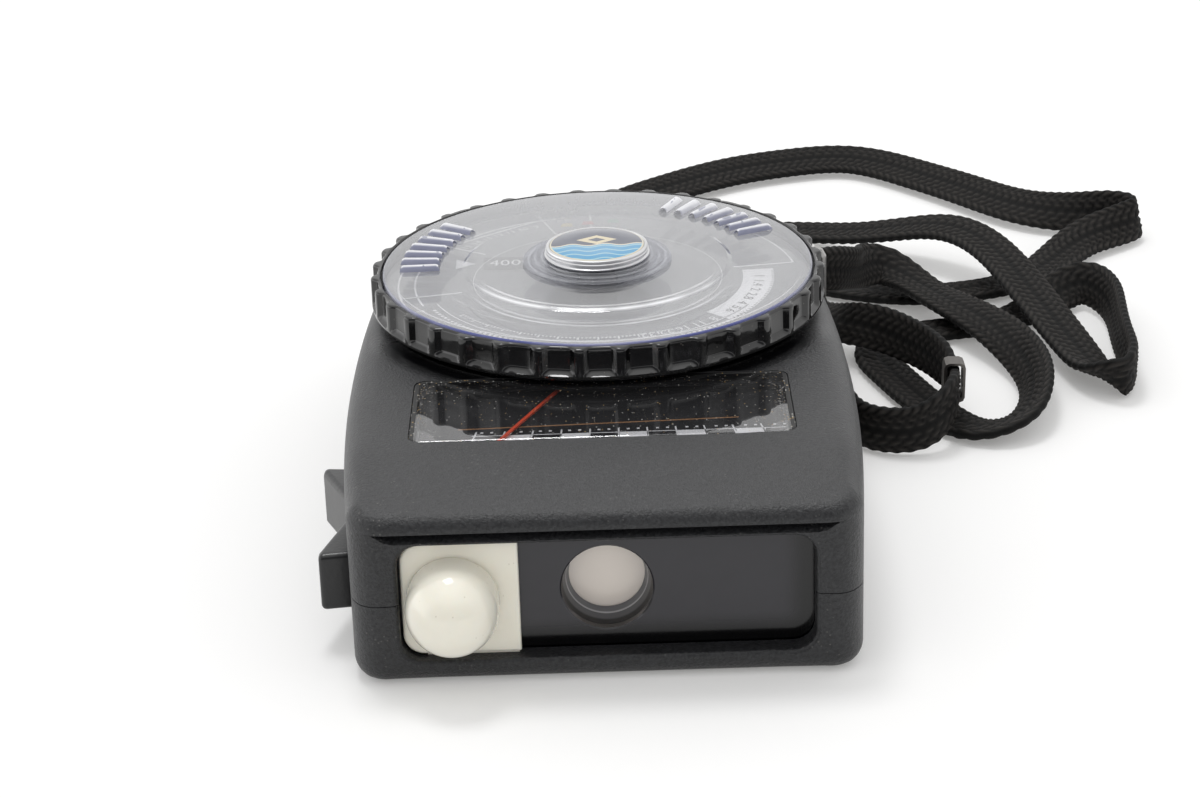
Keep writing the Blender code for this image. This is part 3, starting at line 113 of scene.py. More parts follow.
class Finish:
    """A material with a Principled shader, and the few ways in which the finishes below build on it."""

    def __init__(self, name, colour=(0.5, 0.5, 0.5), roughness=0.5, **constants):
        self.material = bpy.data.materials.new(name)
        self.material.use_nodes = True
        self.tree = self.material.node_tree
        self.shader = self.tree.nodes["Principled BSDF"]
        self.surface = self.tree.nodes["Material Output"].inputs["Surface"]
        self.coordinates = {}
        self.set(Base_Color=colour, Roughness=roughness, **constants)

    def set(self, **values):
        """Gives the Principled shader's sockets their numbers, colours or links; _ stands for a space."""
        for name, value in values.items():
            self.plug(self.shader.inputs[name.replace("_", " ")], value)

    def plug(self, socket, value):
        if isinstance(value, Value):
            self.tree.links.new(value.socket, socket)
        elif hasattr(value, "__len__"):
            full = len(socket.default_value)
            socket.default_value = (*value, 1.0)[:full] if len(value) < full else tuple(value)
        else:
            socket.default_value = value

    def node(self, kind, settings=(), values=(), output=0):
        """One shader node: its type, its settings, the values or links of its sockets, and which output is meant."""
        made = self.tree.nodes.new(kind)
        for name, value in dict(settings).items():
            setattr(made, name, value)
        pairs = values.items() if isinstance(values, dict) else enumerate(values)
        for name, value in pairs:
            self.plug(made.inputs[name], value)
        return Value(self, made.outputs[output])

    def mix(self, share, first, second):
        """A colour between two others."""
        return self.node("ShaderNodeMix", {"data_type": "RGBA", "clamp_factor": True},
                         {0: share, 6: first, 7: second}, 2)

    def coordinate(self, output):
        """An output of Texture Coordinate: GENERATED, NORMAL_OUT or OBJECT, which is the part's own frame."""
        if output not in self.coordinates:
            self.coordinates[output] = self.node("ShaderNodeTexCoord", output=output)
        return self.coordinates[output]

    def axes(self, vector=None):
        """The x, y and z of a vector, or else of the surface's place in the part's own frame."""
        made = self.node("ShaderNodeSeparateXYZ", values=[vector or self.coordinate(OBJECT)])
        return [Value(self, out) for out in made.socket.node.outputs]

    def from_dial(self):
        """x, y and the distance from the dial's axis."""
        x, y, z = self.axes()
        dx, dy = x - DIAL[0], y - DIAL[1]
        return dx, dy, (dx ** 2 + dy ** 2) ** 0.5

    def noise(self, size, detail=2.0, rough=0.5, vector=None, stretch=None):
        """Mottling whose lumps are about size metres across."""
        vector = vector or self.coordinate(OBJECT)
        if stretch:
            vector = self.node("ShaderNodeVectorMath", {"operation": "MULTIPLY"}, [vector, stretch])
        return self.node("ShaderNodeTexNoise", (), {"Vector": vector, "Scale": 1.0 / size, "Detail": detail,
                                                    "Roughness": rough})

    def specks(self, size, share):
        """Small separate spots about size metres across: 1 on a spot, on about that share of the places."""
        cells = {"Vector": self.coordinate(OBJECT), "Scale": 1.0 / (size * SPECK_SPACING)}
        distance, pick = (self.node("ShaderNodeTexVoronoi", (), cells, output) for output in (0, 1))
        return distance.below(SPECK_REACH) * self.axes(pick)[0].below(share)

    def bump(self, height, depth):
        self.set(Normal=self.node("ShaderNodeBump", values={"Height": height, "Distance": depth, "Strength": 1.0}))

    def end(self, shader):
        self.tree.links.new(shader.socket, self.surface)


# ---------------------------------------------------------------------------------------------
# Shape tools
# ---------------------------------------------------------------------------------------------

def piece(name, bm, finish, body, stands_for=(), sharp=35):
    """Turns a bmesh drawn in place into a smooth piece that rides on a body."""
    bmesh.ops.recalc_face_normals(bm, faces=bm.faces)
    mesh = bpy.data.meshes.new(name)
    bm.to_mesh(mesh)
    bm.free()
    mesh.shade_smooth()
    mesh.set_sharp_from_angle(angle=math.radians(sharp))
    obj = bpy.data.objects.new(name, mesh)
    bpy.context.scene.collection.objects.link(obj)
    if finish is not None:
        mesh.materials.append(finish.material)
    if body:
        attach(obj, body)
    if stands_for:
        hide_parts(*stands_for)
    return obj


def dress(finish, *names):
    """Gives CAD nodes a finish. Their shapes stay as they are."""
    for name in names:
        materials = NODES[name].data.materials
        materials.clear()
        materials.append(finish.material)


def cut(base, others, operation="DIFFERENCE"):
    """Boolean of a bmesh with others, as a new bmesh."""
    target = piece("base_form", base, None, None)
    tools = [piece("tool_form", bm, None, None) for bm in others]
    for tool in tools:
        mod = target.modifiers.new("Cut", "BOOLEAN")
        mod.operation, mod.solver, mod.object = operation, "EXACT", tool
    bpy.context.view_layer.update()
    done = target.evaluated_get(bpy.context.evaluated_depsgraph_get())
    bm = bmesh.new()
    bm.from_mesh(done.to_mesh())
    for obj in (target, *tools):
        bpy.data.objects.remove(obj, do_unlink=True)
    return bm


def loft(rings, bm=None, caps=True, closed=True):
    """Skins a list of rings of points, closed round themselves or open like ribbons."""
    bm = bm or bmesh.new()
    loops = [[bm.verts.new(p) for p in ring] for ring in rings]
    for low, high in zip(loops, loops[1:]):
        n = len(low)
        for i in range(n if closed else n - 1):
            bm.faces.new((low[i], low[(i + 1) % n], high[(i + 1) % n], high[i]))
    if caps:
        bm.faces.new(loops[0][::-1])
        bm.faces.new(loops[-1])
    return bm


def circle(radius, z, centre, sides):
    return [(centre[0] + radius * math.cos(math.tau * i / sides),
             centre[1] + radius * math.sin(math.tau * i / sides), z) for i in range(sides)]


def turned(profile, centre, sides=96, bm=None, hollow=False):
    """Turns (radius, z) pairs about a vertical axis; a hollow profile is a closed loop round a bore."""
    rings = [circle(r, z, centre, sides) for r, z in profile]
    if hollow:
        rings.append(rings[0])
        bm = loft(rings, bm, caps=False)
        bmesh.ops.remove_doubles(bm, verts=bm.verts, dist=1e-7)
        return bm
    return loft(rings, bm)


def facing(bm, centre):
    """Lays a piece drawn about +Z down so that it looks out of the front, about a centre."""
    for v in bm.verts:
        x, y, z = v.co
        v.co = (centre[0] + x, centre[1] - z, centre[2] + y)
    return bm


def rounded(half_x, half_y, radius, steps=8, centre=(0, 0), radii=None):
    radii = radii or (radius,) * 4
    points = []
    for corner, r in enumerate(radii):
        sx, sy = (1, -1, -1, 1)[corner], (1, 1, -1, -1)[corner]
        cx, cy = centre[0] + sx * (half_x - r), centre[1] + sy * (half_y - r)
        count = steps if r > 0 else 0
        for k in range(count + 1):
            a = math.pi / 2 * (corner + (k / count if count else 0))
            points.append((cx + r * math.cos(a), cy + r * math.sin(a)))
    return points


def prism(points, low, high):
    return loft([[(x, y, low) for x, y in points], [(x, y, high) for x, y in points]])


def block(low, high):
    return prism([(low[0], low[1]), (high[0], low[1]), (high[0], high[1]), (low[0], high[1])], low[2], high[2])


# ---------------------------------------------------------------------------------------------
# Camera, floor and lamps
# ---------------------------------------------------------------------------------------------

CAMERA_PLACE = Vector((0.000175, -0.399184, 0.187399))
CAMERA_YAW, CAMERA_PITCH, CAMERA_ROLL = -0.000997, 0.40813, -0.031483
CAMERA_LENS, SENSOR = 87.0, 36.0

forward = Vector((math.sin(CAMERA_YAW) * math.cos(CAMERA_PITCH), math.cos(CAMERA_YAW) * math.cos(CAMERA_PITCH),
                  -math.sin(CAMERA_PITCH)))
level = Vector((math.cos(CAMERA_YAW), -math.sin(CAMERA_YAW), 0))
upward = level.cross(forward)
right = level * math.cos(CAMERA_ROLL) + upward * math.sin(CAMERA_ROLL)
upward = upward * math.cos(CAMERA_ROLL) - level * math.sin(CAMERA_ROLL)
camera_data = bpy.data.cameras.new("camera")
camera_data.lens, camera_data.sensor_width = CAMERA_LENS, SENSOR
camera_data.clip_start = 0.01
camera = bpy.data.objects.new("camera", camera_data)
camera.matrix_world = Matrix.Translation(CAMERA_PLACE) @ Matrix((right, upward, -forward)).transposed().to_4x4()
bpy.context.scene.collection.objects.link(camera)
bpy.context.scene.camera = camera
bpy.context.scene.view_settings.view_transform = "Standard"

FLOOR_SIZE = 6.0
FLOOR_LIFT = (0.215, 0.213, 0.208)     # what the floor adds for the camera and in reflections, so that it is white


def white_rays(finish):
    """1 for what the camera sees straight, in a gloss or through glass."""
    rays = finish.node("ShaderNodeLightPath")
    outputs = rays.socket.node.outputs
    seen = [Value(finish, outputs[name]) for name in ("Is Camera Ray", "Is Glossy Ray", "Is Transmission Ray")]
    return seen[0].either(seen[1]).either(seen[2])


floor_finish = Finish("floor_paper", (0.80, 0.80, 0.80), 0.9, Specular_IOR_Level=0.0, Emission_Strength=1.0)
floor_finish.set(Emission_Color=floor_finish.mix(white_rays(floor_finish), (0, 0, 0), FLOOR_LIFT))
floor_form = bmesh.new()
bmesh.ops.create_grid(floor_form, x_segments=1, y_segments=1, size=FLOOR_SIZE / 2)
bmesh.ops.translate(floor_form, verts=floor_form.verts, vec=(0, 0, -0.0001))
floor = piece("floor", floor_form, floor_finish, None)

world = bpy.data.worlds.new("studio")
bpy.context.scene.world = world
world.use_nodes = True
WORLD_LIGHT = (0.84, 0.84, 0.84)
SEEN_WHITE, SEEN_DARK = (1.01, 1.01, 1.01), (0.205, 0.205, 0.218)
SEEN_LEFT, SEEN_ABOVE = (1.9, 1.9, 1.9), (1.5, 1.5, 1.5)


class WorldFinish(Finish):
    """The same tools on the world's nodes."""

    def __init__(self, world):
        self.tree = world.node_tree
        self.shader = self.tree.nodes["Background"]
        self.coordinates = {}


# Seen in a gloss, the side that the camera stands on is dark up to half height, a bright soft box hangs overhead,
# another one stands on the left, and all else round the table is white
sky = WorldFinish(world)
x, y, z = sky.axes(sky.coordinate(GENERATED))
dark_side = (y * -1).ramp(0.30, 0.70) * (1 - z.ramp(0.50, 0.80)) * z.ramp(-0.02, 0.10)
left_glow = (x * -1).ramp(0.55, 0.90) * (1 - z.ramp(0.30, 0.60))
seen = sky.mix(dark_side, sky.mix(left_glow, SEEN_WHITE, SEEN_LEFT), SEEN_DARK)
sky.set(Color=sky.mix(white_rays(sky), WORLD_LIGHT, sky.mix(z.ramp(0.80, 0.97), seen, SEEN_ABOVE)))


LAMP_PLACE = Vector((-0.10, 0.20, 0.95))
lamp_data = bpy.data.lights.new("soft_box_top", "AREA")
lamp_data.shape, lamp_data.size, lamp_data.energy = "SQUARE", 0.26, 2.5
lamp = bpy.data.objects.new("soft_box_top", lamp_data)
lamp.matrix_world = Matrix.Translation(LAMP_PLACE) @ (-LAMP_PLACE).to_track_quat("-Z", "Y").to_matrix().to_4x4()
bpy.context.scene.collection.objects.link(lamp)


# ---------------------------------------------------------------------------------------------
# Neck strap: one flat braid that runs through the lug and lies in loose loops
# ---------------------------------------------------------------------------------------------

STRAP_WIDTH, STRAP_THICKNESS, STRAP_LENGTH = 0.0076, 0.0020, 0.749
CLIP_POINT, CLIP_SQUEEZE, CLIP_EASE = 7.6, 0.0024, 1.1       # where the clip narrows the braid, in route points
# Route points: the place of the braid's middle in tenths of a millimetre, and its tilt in degrees (0 flat, 90 on edge)
STRAP_ROUTE = [(x / 10000, y / 10000, z / 10000, tilt) for x, y, z, tilt in (
    (339, 384, 182, 90), (354, 300, 148, 90), (374, 205, 80, 90), (394, 134, 44, 90), (436, 94, 41, 90),
    (488, 86, 47, 90), (527, 106, 64, 90), (550, 160, 73, 90), (554, 235, 73, 88), (536, 315, 72, 84),
    (496, 395, 70, 74), (445, 455, 68, 58), (386, 515, 56, 32), (336, 612, 43, 10), (270, 708, 35, 0),
    (162, 802, 27, -4), (58, 900, 21, -10), (10, 1030, 24, -14), (35, 1180, 27, -18), (125, 1275, 28, -20),
    (255, 1365, 29, -22), (385, 1415, 29, -22), (505, 1420, 29, -22), (615, 1325, 30, -24), (705, 1210, 33, -28),
    (790, 1100, 37, -36), (880, 1050, 41, -54), (954, 1042, 43, -76), (988, 1012, 43, -100), (956, 976, 41, -122),
    (880, 930, 32, -150), (805, 845, 18, -172), (725, 770, 13, -180), (635, 735, 13, -180), (540, 730, 13, -180),
    (450, 760, 13, -180), (360, 815, 13, -180), (270, 875, 13, -180), (210, 950, 13, -180), (215, 1025, 14, -180),
    (285, 1050, 18, -182), (375, 1020, 28, -184), (470, 970, 42, -186), (555, 930, 62, -190), (625, 880, 80, -194),
    (680, 800, 80, -190), (720, 675, 68, -186), (752, 535, 52, -184), (782, 405, 36, -178), (808, 308, 32, -150),
    (834, 272, 41, -106), (856, 310, 43, -92), (862, 410, 42, -96), (870, 525, 42, -100), (870, 630, 42, -106),
    (836, 690, 40, -124), (780, 665, 24, -158), (715, 615, 13, -178), (635, 575, 13, -180), (550, 555, 13, -180),
    (482, 516, 13, -180), (460, 452, 13, -180), (478, 370, 13, -180), (506, 285, 13, -180), (538, 208, 13, -180),
    (588, 144, 14, -176), (646, 148, 25, -156), (684, 210, 35, -136), (698, 295, 39, -130), (688, 390, 42, -140),
    (654, 485, 49, -160), (608, 575, 50, -172), (568, 660, 46, -180), (534, 720, 51, -168), (494, 744, 65, -134),
    (460, 704, 80, -106), (440, 625, 106, -84), (418, 540, 138, -76), (384, 470, 166, -84), (339, 416, 182, -90))]
ROUTE_STEPS = 60             # spline points from one route point to the next
PLAIT_PITCH = 0.00185        # from one plait to the next along the braid
PLAIT_ROWS = 6               # rows of plaits across it, slanting one way and the other in turn
PLAIT_SLANT, PLAIT_DEPTH, EDGE_WAVE = 0.85, 0.00048, 0.00016
BRAID_STEP, BRAID_SIDES = 0.00026, 44


def smooth_through(points, steps):
    """A natural cubic spline through the points, spaced by the root of their distances."""
    p = np.array(points)
    gaps = np.linalg.norm(np.diff(p[:, :3], axis=0), axis=1) ** 0.5
    n = len(p)
    matrix, given = np.eye(n), np.zeros_like(p)
    for i in range(1, n - 1):
        matrix[i, i - 1:i + 2] = gaps[i - 1], 2 * (gaps[i - 1] + gaps[i]), gaps[i]
        given[i] = 6 * ((p[i + 1] - p[i]) / gaps[i] - (p[i] - p[i - 1]) / gaps[i - 1])
    bend = np.linalg.solve(matrix, given)
    out = []
    for k in range((n - 1) * steps + 1):
        i = min(k // steps, n - 2)
        g, u = gaps[i], (k / steps - i) * gaps[i]
        v = g - u
        out.append((bend[i] * v ** 3 + bend[i + 1] * u ** 3) / (6 * g)
                   + (p[i] / g - bend[i] * g / 6) * v + (p[i + 1] / g - bend[i + 1] * g / 6) * u)
    return np.array(out)


def strap_course(step):
    """Points an even step apart along the strap, their way along it, their route number, and its across and through."""
    dense = smooth_through(STRAP_ROUTE, ROUTE_STEPS)
    number = np.arange(len(dense)) / ROUTE_STEPS
    run = np.concatenate([[0], np.cumsum(np.linalg.norm(np.diff(dense[:, :3], axis=0), axis=1))])
    at = np.linspace(0, run[-1], int(run[-1] / step) + 1)
    q = np.stack([np.interp(at, run, dense[:, k]) for k in range(4)], 1)
    along = np.gradient(q[:, :3], axis=0)
    along /= np.linalg.norm(along, axis=1)[:, None]
    side = np.cross(along, (0, 0, 1))
    side /= np.linalg.norm(side, axis=1)[:, None]
    up = np.cross(side, along)
    tilt = np.radians(q[:, 3])[:, None]
    wide = side * np.cos(tilt) + up * np.sin(tilt)
    return q[:, :3], at, np.interp(at, run, number), wide, np.cross(wide, along)


def plaits(run, across):
    """How high the braid's face stands, 0 in the gaps and 1 on top of a plait, with across from -1 to 1."""
    place = (across + 1) / 2 * PLAIT_ROWS
    row = np.clip(np.floor(place), 0, PLAIT_ROWS - 1)
    in_row = place - row - 0.5
    slant = np.where(row % 2 == 0, 1.0, -1.0)
    phase = run / PLAIT_PITCH + slant * in_row * PLAIT_SLANT + 0.5 * (row % 2)
    lump = np.clip(np.abs(np.cos(np.pi * phase)), 0, 1) ** 0.55
    return lump * np.clip(np.cos(np.pi * in_row), 0, 1) ** 0.45


def braid_mesh():
    points, run, number, wide, thick = strap_course(BRAID_STEP)
    away = np.clip(np.abs(number - CLIP_POINT) / CLIP_EASE, 0, 1)
    reach = (STRAP_WIDTH - CLIP_SQUEEZE * (1 + np.cos(np.pi * away)) / 2) / 2
    turn = np.arange(BRAID_SIDES) / BRAID_SIDES * math.tau
    # A flat rounded section: points are spread evenly over the two faces
    shape = np.sign(np.cos(turn)) * np.abs(np.cos(turn)) ** 0.80
    crown = np.sign(np.sin(turn)) * np.abs(np.sin(turn)) ** 0.42
    across = shape[None, :] * np.ones((len(run), 1))
    lift = plaits(run[:, None] + np.where(crown > 0, 0.0, PLAIT_PITCH / 2)[None, :], across)
    edge = 0.5 + 0.5 * np.cos(math.tau * run / PLAIT_PITCH)
    half_wide = reach[:, None] - EDGE_WAVE * (1 - edge[:, None])
    half_thick = STRAP_THICKNESS / 2 * crown[None, :] - np.sign(crown)[None, :] * PLAIT_DEPTH * (1 - lift) * (
        np.abs(crown[None, :]) ** 1.5)
    place = (points[:, None, :] + wide[:, None, :] * (half_wide * across)[:, :, None]
             + thick[:, None, :] * half_thick[:, :, None])
    index = np.arange(len(run) * BRAID_SIDES).reshape(len(run), BRAID_SIDES)
    ahead = np.roll(index, -1, axis=1)
    faces = np.stack([index[:-1], ahead[:-1], ahead[1:], index[1:]], -1).reshape(-1, 4)
    mesh = bpy.data.meshes.new("strap_braid")
    mesh.from_pydata(place.reshape(-1, 3).tolist(), [],
                     faces.tolist() + [index[0][::-1].tolist(), index[-1].tolist()])
    mesh.attributes.new("plait", "FLOAT", "POINT").data.foreach_set("value", lift.astype(np.float32).ravel())
    mesh.shade_smooth()
    mesh.update()
    return mesh, points


braid_finish = Finish("black_braid", roughness=0.70, Specular_IOR_Level=0.22)
plait_height = braid_finish.node("ShaderNodeAttribute", {"attribute_name": "plait"}, output=2)
braid_tone = braid_finish.noise(0.012, 3) * 0.5 + braid_finish.noise(0.0006, 2) * 0.5
# Painted shade: the gaps between the plaits are painted near black, so that the plait tops stand out lighter
braid_finish.set(Base_Color=braid_finish.mix(
    plait_height ** 2.6 * (0.35 + braid_tone), (0.0012, 0.0011, 0.0010), (0.0400, 0.0355, 0.0320)))
braid_finish.bump(braid_finish.noise(0.00035, 3, 0.7), 0.00006)

strap_mesh, strap_line = braid_mesh()
strap_braid = bpy.data.objects.new("strap_braid", strap_mesh)
bpy.context.scene.collection.objects.link(strap_braid)
strap_mesh.materials.append(braid_finish.material)
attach(strap_braid, "case")
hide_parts("strap")


# ---------------------------------------------------------------------------------------------
# Case
# ---------------------------------------------------------------------------------------------

BODY_LENGTH, BODY_HEIGHT, BODY_HALF_WIDTH = 0.120, 0.0272, 0.036
FRONT_Y, BACK_Y = -BODY_LENGTH / 2, BODY_LENGTH / 2
NOSE_Y = FRONT_Y - 0.001
WIDEST_Y = FRONT_Y + 0.043
SIDE_DRAW_IN = 0.00778
SIDE_RADIUS = ((BACK_Y - WIDEST_Y) ** 2 + SIDE_DRAW_IN ** 2) / SIDE_DRAW_IN / 2
FRONT_CORNER, BACK_CORNER = 0.0055, 0.012
BOTTOM_EDGE, TOP_EDGE, TAIL_EDGE = 0.003, 0.004, 0.009
TAIL_START, TAIL_FULL = 0.030, 0.050
NOSE_UNDERSIDE, NOSE_DROP, NOSE_EDGE, NOSE_REACH = 0.0227, 0.0025, 0.0017, 0.011
RELIEF_FADE, RELIEF_HALF, RELIEF_DEEP = 0.0275, 0.0330, 0.004
CREASE_HALF, CREASE_RUN_OUT = 0.0318, 0.0040
PARTING_Z, PARTING_GAP = 0.0119, 0.00012
WALL, DECK_WALL, FRONT_WALL = 0.002, 0.0015, 0.0031
WINDOW_HALF, WINDOW_LOW, WINDOW_HIGH, WINDOW_CORNER = 0.0275, 0.0036, 0.0205, 0.003
WINDOW_Z, WINDOW_HALF_TALL = (WINDOW_LOW + WINDOW_HIGH) / 2, (WINDOW_HIGH - WINDOW_LOW) / 2
PANEL_Y = FRONT_Y + FRONT_WALL + GAP
PANE_HALF, PANE_NEAR, PANE_FAR, PANE_CORNER = 0.0264, -0.0415, -0.0203, 0.0018
PANE_MIDDLE, PANE_HALF_DEPTH = (PANE_NEAR + PANE_FAR) / 2, (PANE_FAR - PANE_NEAR) / 2
PANE_THICK, PANE_LIP = 0.0010, 0.0012


def smooth(share):
    share = min(max(share, 0), 1)
    return share * share * (3 - 2 * share)


def half_width(y):
    return BODY_HALF_WIDTH - SIDE_RADIUS + math.sqrt(SIDE_RADIUS ** 2 - (y - WIDEST_Y) ** 2)


def outline(inset, front):
    """Points round the case, right side first, set in from the outside by an even amount."""
    low, high = front + FRONT_CORNER, BACK_Y - BACK_CORNER
    cx, r = half_width(low) - FRONT_CORNER, FRONT_CORNER - inset
    points = [(cx * s, front + inset) for s in (0, 0.2, 0.4, 0.6, 0.8)]
    points += [(cx + r * math.sin(math.pi / 2 * k / 10), low - r * math.cos(math.pi / 2 * k / 10)) for k in range(11)]
    sides = [low + (high - low) * k / 36 for k in range(1, 36)]
    points += [(half_width(y) - inset, y) for y in sides]
    cx, r = half_width(high) - BACK_CORNER, BACK_CORNER - inset
    points += [(cx + r * math.cos(math.pi / 2 * k / 14), high + r * math.sin(math.pi / 2 * k / 14)) for k in range(15)]
    points += [(cx * s, BACK_Y - inset) for s in (0.66, 0.33, 0)]
    return points + [(-x, y) for x, y in points[-2:0:-1]]


def edge_steps(radius, count):
    return [(radius * (1 - math.sin(math.pi / 2 * k / count)),
             radius * (1 - math.cos(math.pi / 2 * k / count))) for k in range(count + 1)]


def nose_fall(y):
    share = min(max((PANE_NEAR - y) / (PANE_NEAR - NOSE_Y), 0), 1)
    return NOSE_DROP * share ** 1.5


def tail_share(y):
    return smooth((y - TAIL_START) / (TAIL_FULL - TAIL_START))


def nose_share(y):
    return smooth((NOSE_Y + NOSE_REACH - y) / NOSE_REACH)


def set_back(points, depth):
    """Takes the front face back below the nose, less and less towards the corners."""
    return [(x, y + depth * (1 - smooth((abs(x) - RELIEF_FADE) / (RELIEF_HALF - RELIEF_FADE)))
             * (y < FRONT_Y + RELIEF_DEEP)) for x, y in points]


def case_form(inset, front, low, high, low_radius, high_radius, relief=0.0):
    rings = [[(x, y, low + rise) for x, y in set_back(outline(inset + d, front), relief)]
             for d, rise in edge_steps(low_radius, 6)]
    wall, rim = outline(inset, front), outline(inset + high_radius, front)
    radii = [high_radius * (1 - (1 - NOSE_EDGE / TOP_EDGE) * nose_share(y)) + (TAIL_EDGE - TOP_EDGE) * tail_share(y)
             for x, y in wall]
    under = [min(NOSE_UNDERSIDE, high - r - nose_fall(y) - GAP) for (x, y), r in zip(wall, radii)]
    rings += [[(x, y, PARTING_Z) for x, y in set_back(wall, relief)],
              [(x, y, z - 0.0002) for (x, y), z in zip(set_back(wall, relief), under)],
              [(x, y, z) for (x, y), z in zip(wall, under)]]
    for d, fall in reversed(edge_steps(high_radius, 9)):
        ring = []
        for (x0, y0), (x1, y1), r in zip(wall, rim, radii):
            in_share = d / high_radius * r / high_radius
            x, y = x0 + (x1 - x0) * in_share, y0 + (y1 - y0) * in_share
            ring.append((x, y, high - fall * r / high_radius - nose_fall(y)))
        rings.append(ring)
    top = rings[-1]
    for share in (0.97, 0.94, 0.91, 0.88, 0.85, 0.81, 0.77, 0.7, 0.5, 0.25):
        spread = [(x * share, WIDEST_Y + (y - WIDEST_Y) * share) for x, y, z in top]
        rings.append([(x, y, high - nose_fall(y)) for x, y in spread])
    return loft(rings)


def mouth(points_at, lip, low, high, steps=4):
    """A cutter for an opening whose edge at the high end is rounded over by lip."""
    rings = [points_at(0, low), points_at(0, high - lip)]
    for k in range(1, steps + 1):
        a = math.pi / 2 * k / steps
        rings.append(points_at(lip * (1 - math.cos(a)), high - lip + lip * math.sin(a)))
    rings.append(points_at(lip, high + lip * 4))
    return loft(rings)


def window_cutter():
    def ring(grow, depth):
        return [(x, -depth, z) for x, z in rounded(WINDOW_HALF + grow, WINDOW_HALF_TALL + grow,
                                                   WINDOW_CORNER + grow, centre=(0, WINDOW_Z))]
    return mouth(ring, 0.0005, -PANEL_Y - 0.003, -FRONT_Y)


def pane_ring(grow, z):
    """The pane's outline at a height, larger than the pane by an amount."""
    return [(x, y, z) for x, y in rounded(PANE_HALF + grow, PANE_HALF_DEPTH + grow, PANE_CORNER + grow,
                                          centre=(0, PANE_MIDDLE))]


def pane_cutter():
    return mouth(pane_ring, 0.00010, BODY_HEIGHT - PANE_THICK - GAP, BODY_HEIGHT + 0.00002, 3)


def crease_cutter():
    """The deep crease between the nose and the front face, which runs out before the corners."""
    profile = [(-0.0012, 0.0), (-0.0012, -0.0014), (0.0, -0.0017), (0.0004, -0.0013), (0.0014, -0.0010),
               (0.0013, -0.0001), (0.0003, 0.0)]
    rings = []
    for k in range(-32, 33):
        x = CREASE_HALF * k / 32
        face = set_back([(x, NOSE_Y)], FRONT_Y - NOSE_Y)[0][1]
        share = 0.04 + 0.96 * smooth((CREASE_HALF - abs(x)) / CREASE_RUN_OUT)
        rings.append([(x, face + y * share, NOSE_UNDERSIDE - 0.0001 + z * share) for y, z in profile])
    return loft(rings)


ROCKER_Y, ROCKER_Z, ROCKER_SIDE = -0.03375, 0.0096, -0.0356
SLOT_HALF, SLOT_HALF_TALL, SLOT_PROUD, SLOT_DEEP = 0.0150, 0.0048, 0.006, 0.0055
SCREW_PLACES = [(side * x, y) for x, y in ((0.0265, -0.0475), (0.0278, 0.022)) for side in (-1, 1)]
SCREW_HOLE, ZERO_HOLE, ZERO_PLACE, POST_HOLE = 0.0025, 0.0031, (0, -0.007), 0.0049
COVER_HALF, COVER_Y, COVER_THICK = 0.0262, 0.0269, 0.0016
LUG_Y, LUG_LOW, LUG_TALL, LUG_HOLE, LUG_DEEP = 0.040, 0.0134, 0.0094, 0.0009, 0.0014
CUT_PAST, FAR = 0.003, 0.2                # how far a cutter goes past what it cuts, and a length past everything


def upright(radius, low, high, place):
    return turned([(radius, low), (radius, high)], place, 32)


def lug_hole(z):
    """A blind hole in the right side for one leg of the lug."""
    side = half_width(LUG_Y)
    bm = turned([(LUG_HOLE, side - LUG_DEEP), (LUG_HOLE, side + CUT_PAST)], (0, 0), 20)
    for v in bm.verts:
        v.co = (v.co.z, LUG_Y + v.co.x, z + v.co.y)
    return bm


def shell(cuts):
    """The whole case less its cavity, crease, window, rocker slot and what only one half has cut out."""
    cavity = case_form(WALL, PANEL_Y - GAP - WALL, WALL, BODY_HEIGHT - DECK_WALL, WALL / 2, WALL / 2)
    slot = block((ROCKER_SIDE - SLOT_PROUD, ROCKER_Y - SLOT_HALF, ROCKER_Z - SLOT_HALF_TALL),
                 (ROCKER_SIDE + SLOT_DEEP, ROCKER_Y + SLOT_HALF, ROCKER_Z + SLOT_HALF_TALL))
    whole = case_form(0, NOSE_Y, 0, BODY_HEIGHT, BOTTOM_EDGE, TOP_EDGE, FRONT_Y - NOSE_Y)
    return cut(whole, [cavity, crease_cutter(), window_cutter(), slot, *cuts])


def top_shell_form():
    opening = prism(rounded(PANE_HALF - PANE_LIP, PANE_HALF_DEPTH - PANE_LIP, PANE_CORNER, centre=(0, PANE_MIDDLE)),
                    BODY_HEIGHT - DECK_WALL - CUT_PAST, BODY_HEIGHT)
    return shell([block((-FAR, -FAR, -FAR), (FAR, FAR, PARTING_Z + PARTING_GAP)), pane_cutter(), opening,
                  upright(POST_HOLE, BODY_HEIGHT - 0.004, BODY_HEIGHT + CUT_PAST, DIAL),
                  lug_hole(LUG_LOW), lug_hole(LUG_LOW + LUG_TALL)])


def bottom_shell_form():
    cover = block((-COVER_HALF - GAP, COVER_Y - GAP, -CUT_PAST),
                  (COVER_HALF + GAP, BACK_Y + CUT_PAST, COVER_THICK + GAP))
    holes = [(ZERO_HOLE, ZERO_PLACE)] + [(SCREW_HOLE, place) for place in SCREW_PLACES]
    return shell([block((-FAR, -FAR, PARTING_Z), (FAR, FAR, FAR)), cover]
                 + [upright(radius, -CUT_PAST, WALL + CUT_PAST, place) for radius, place in holes])


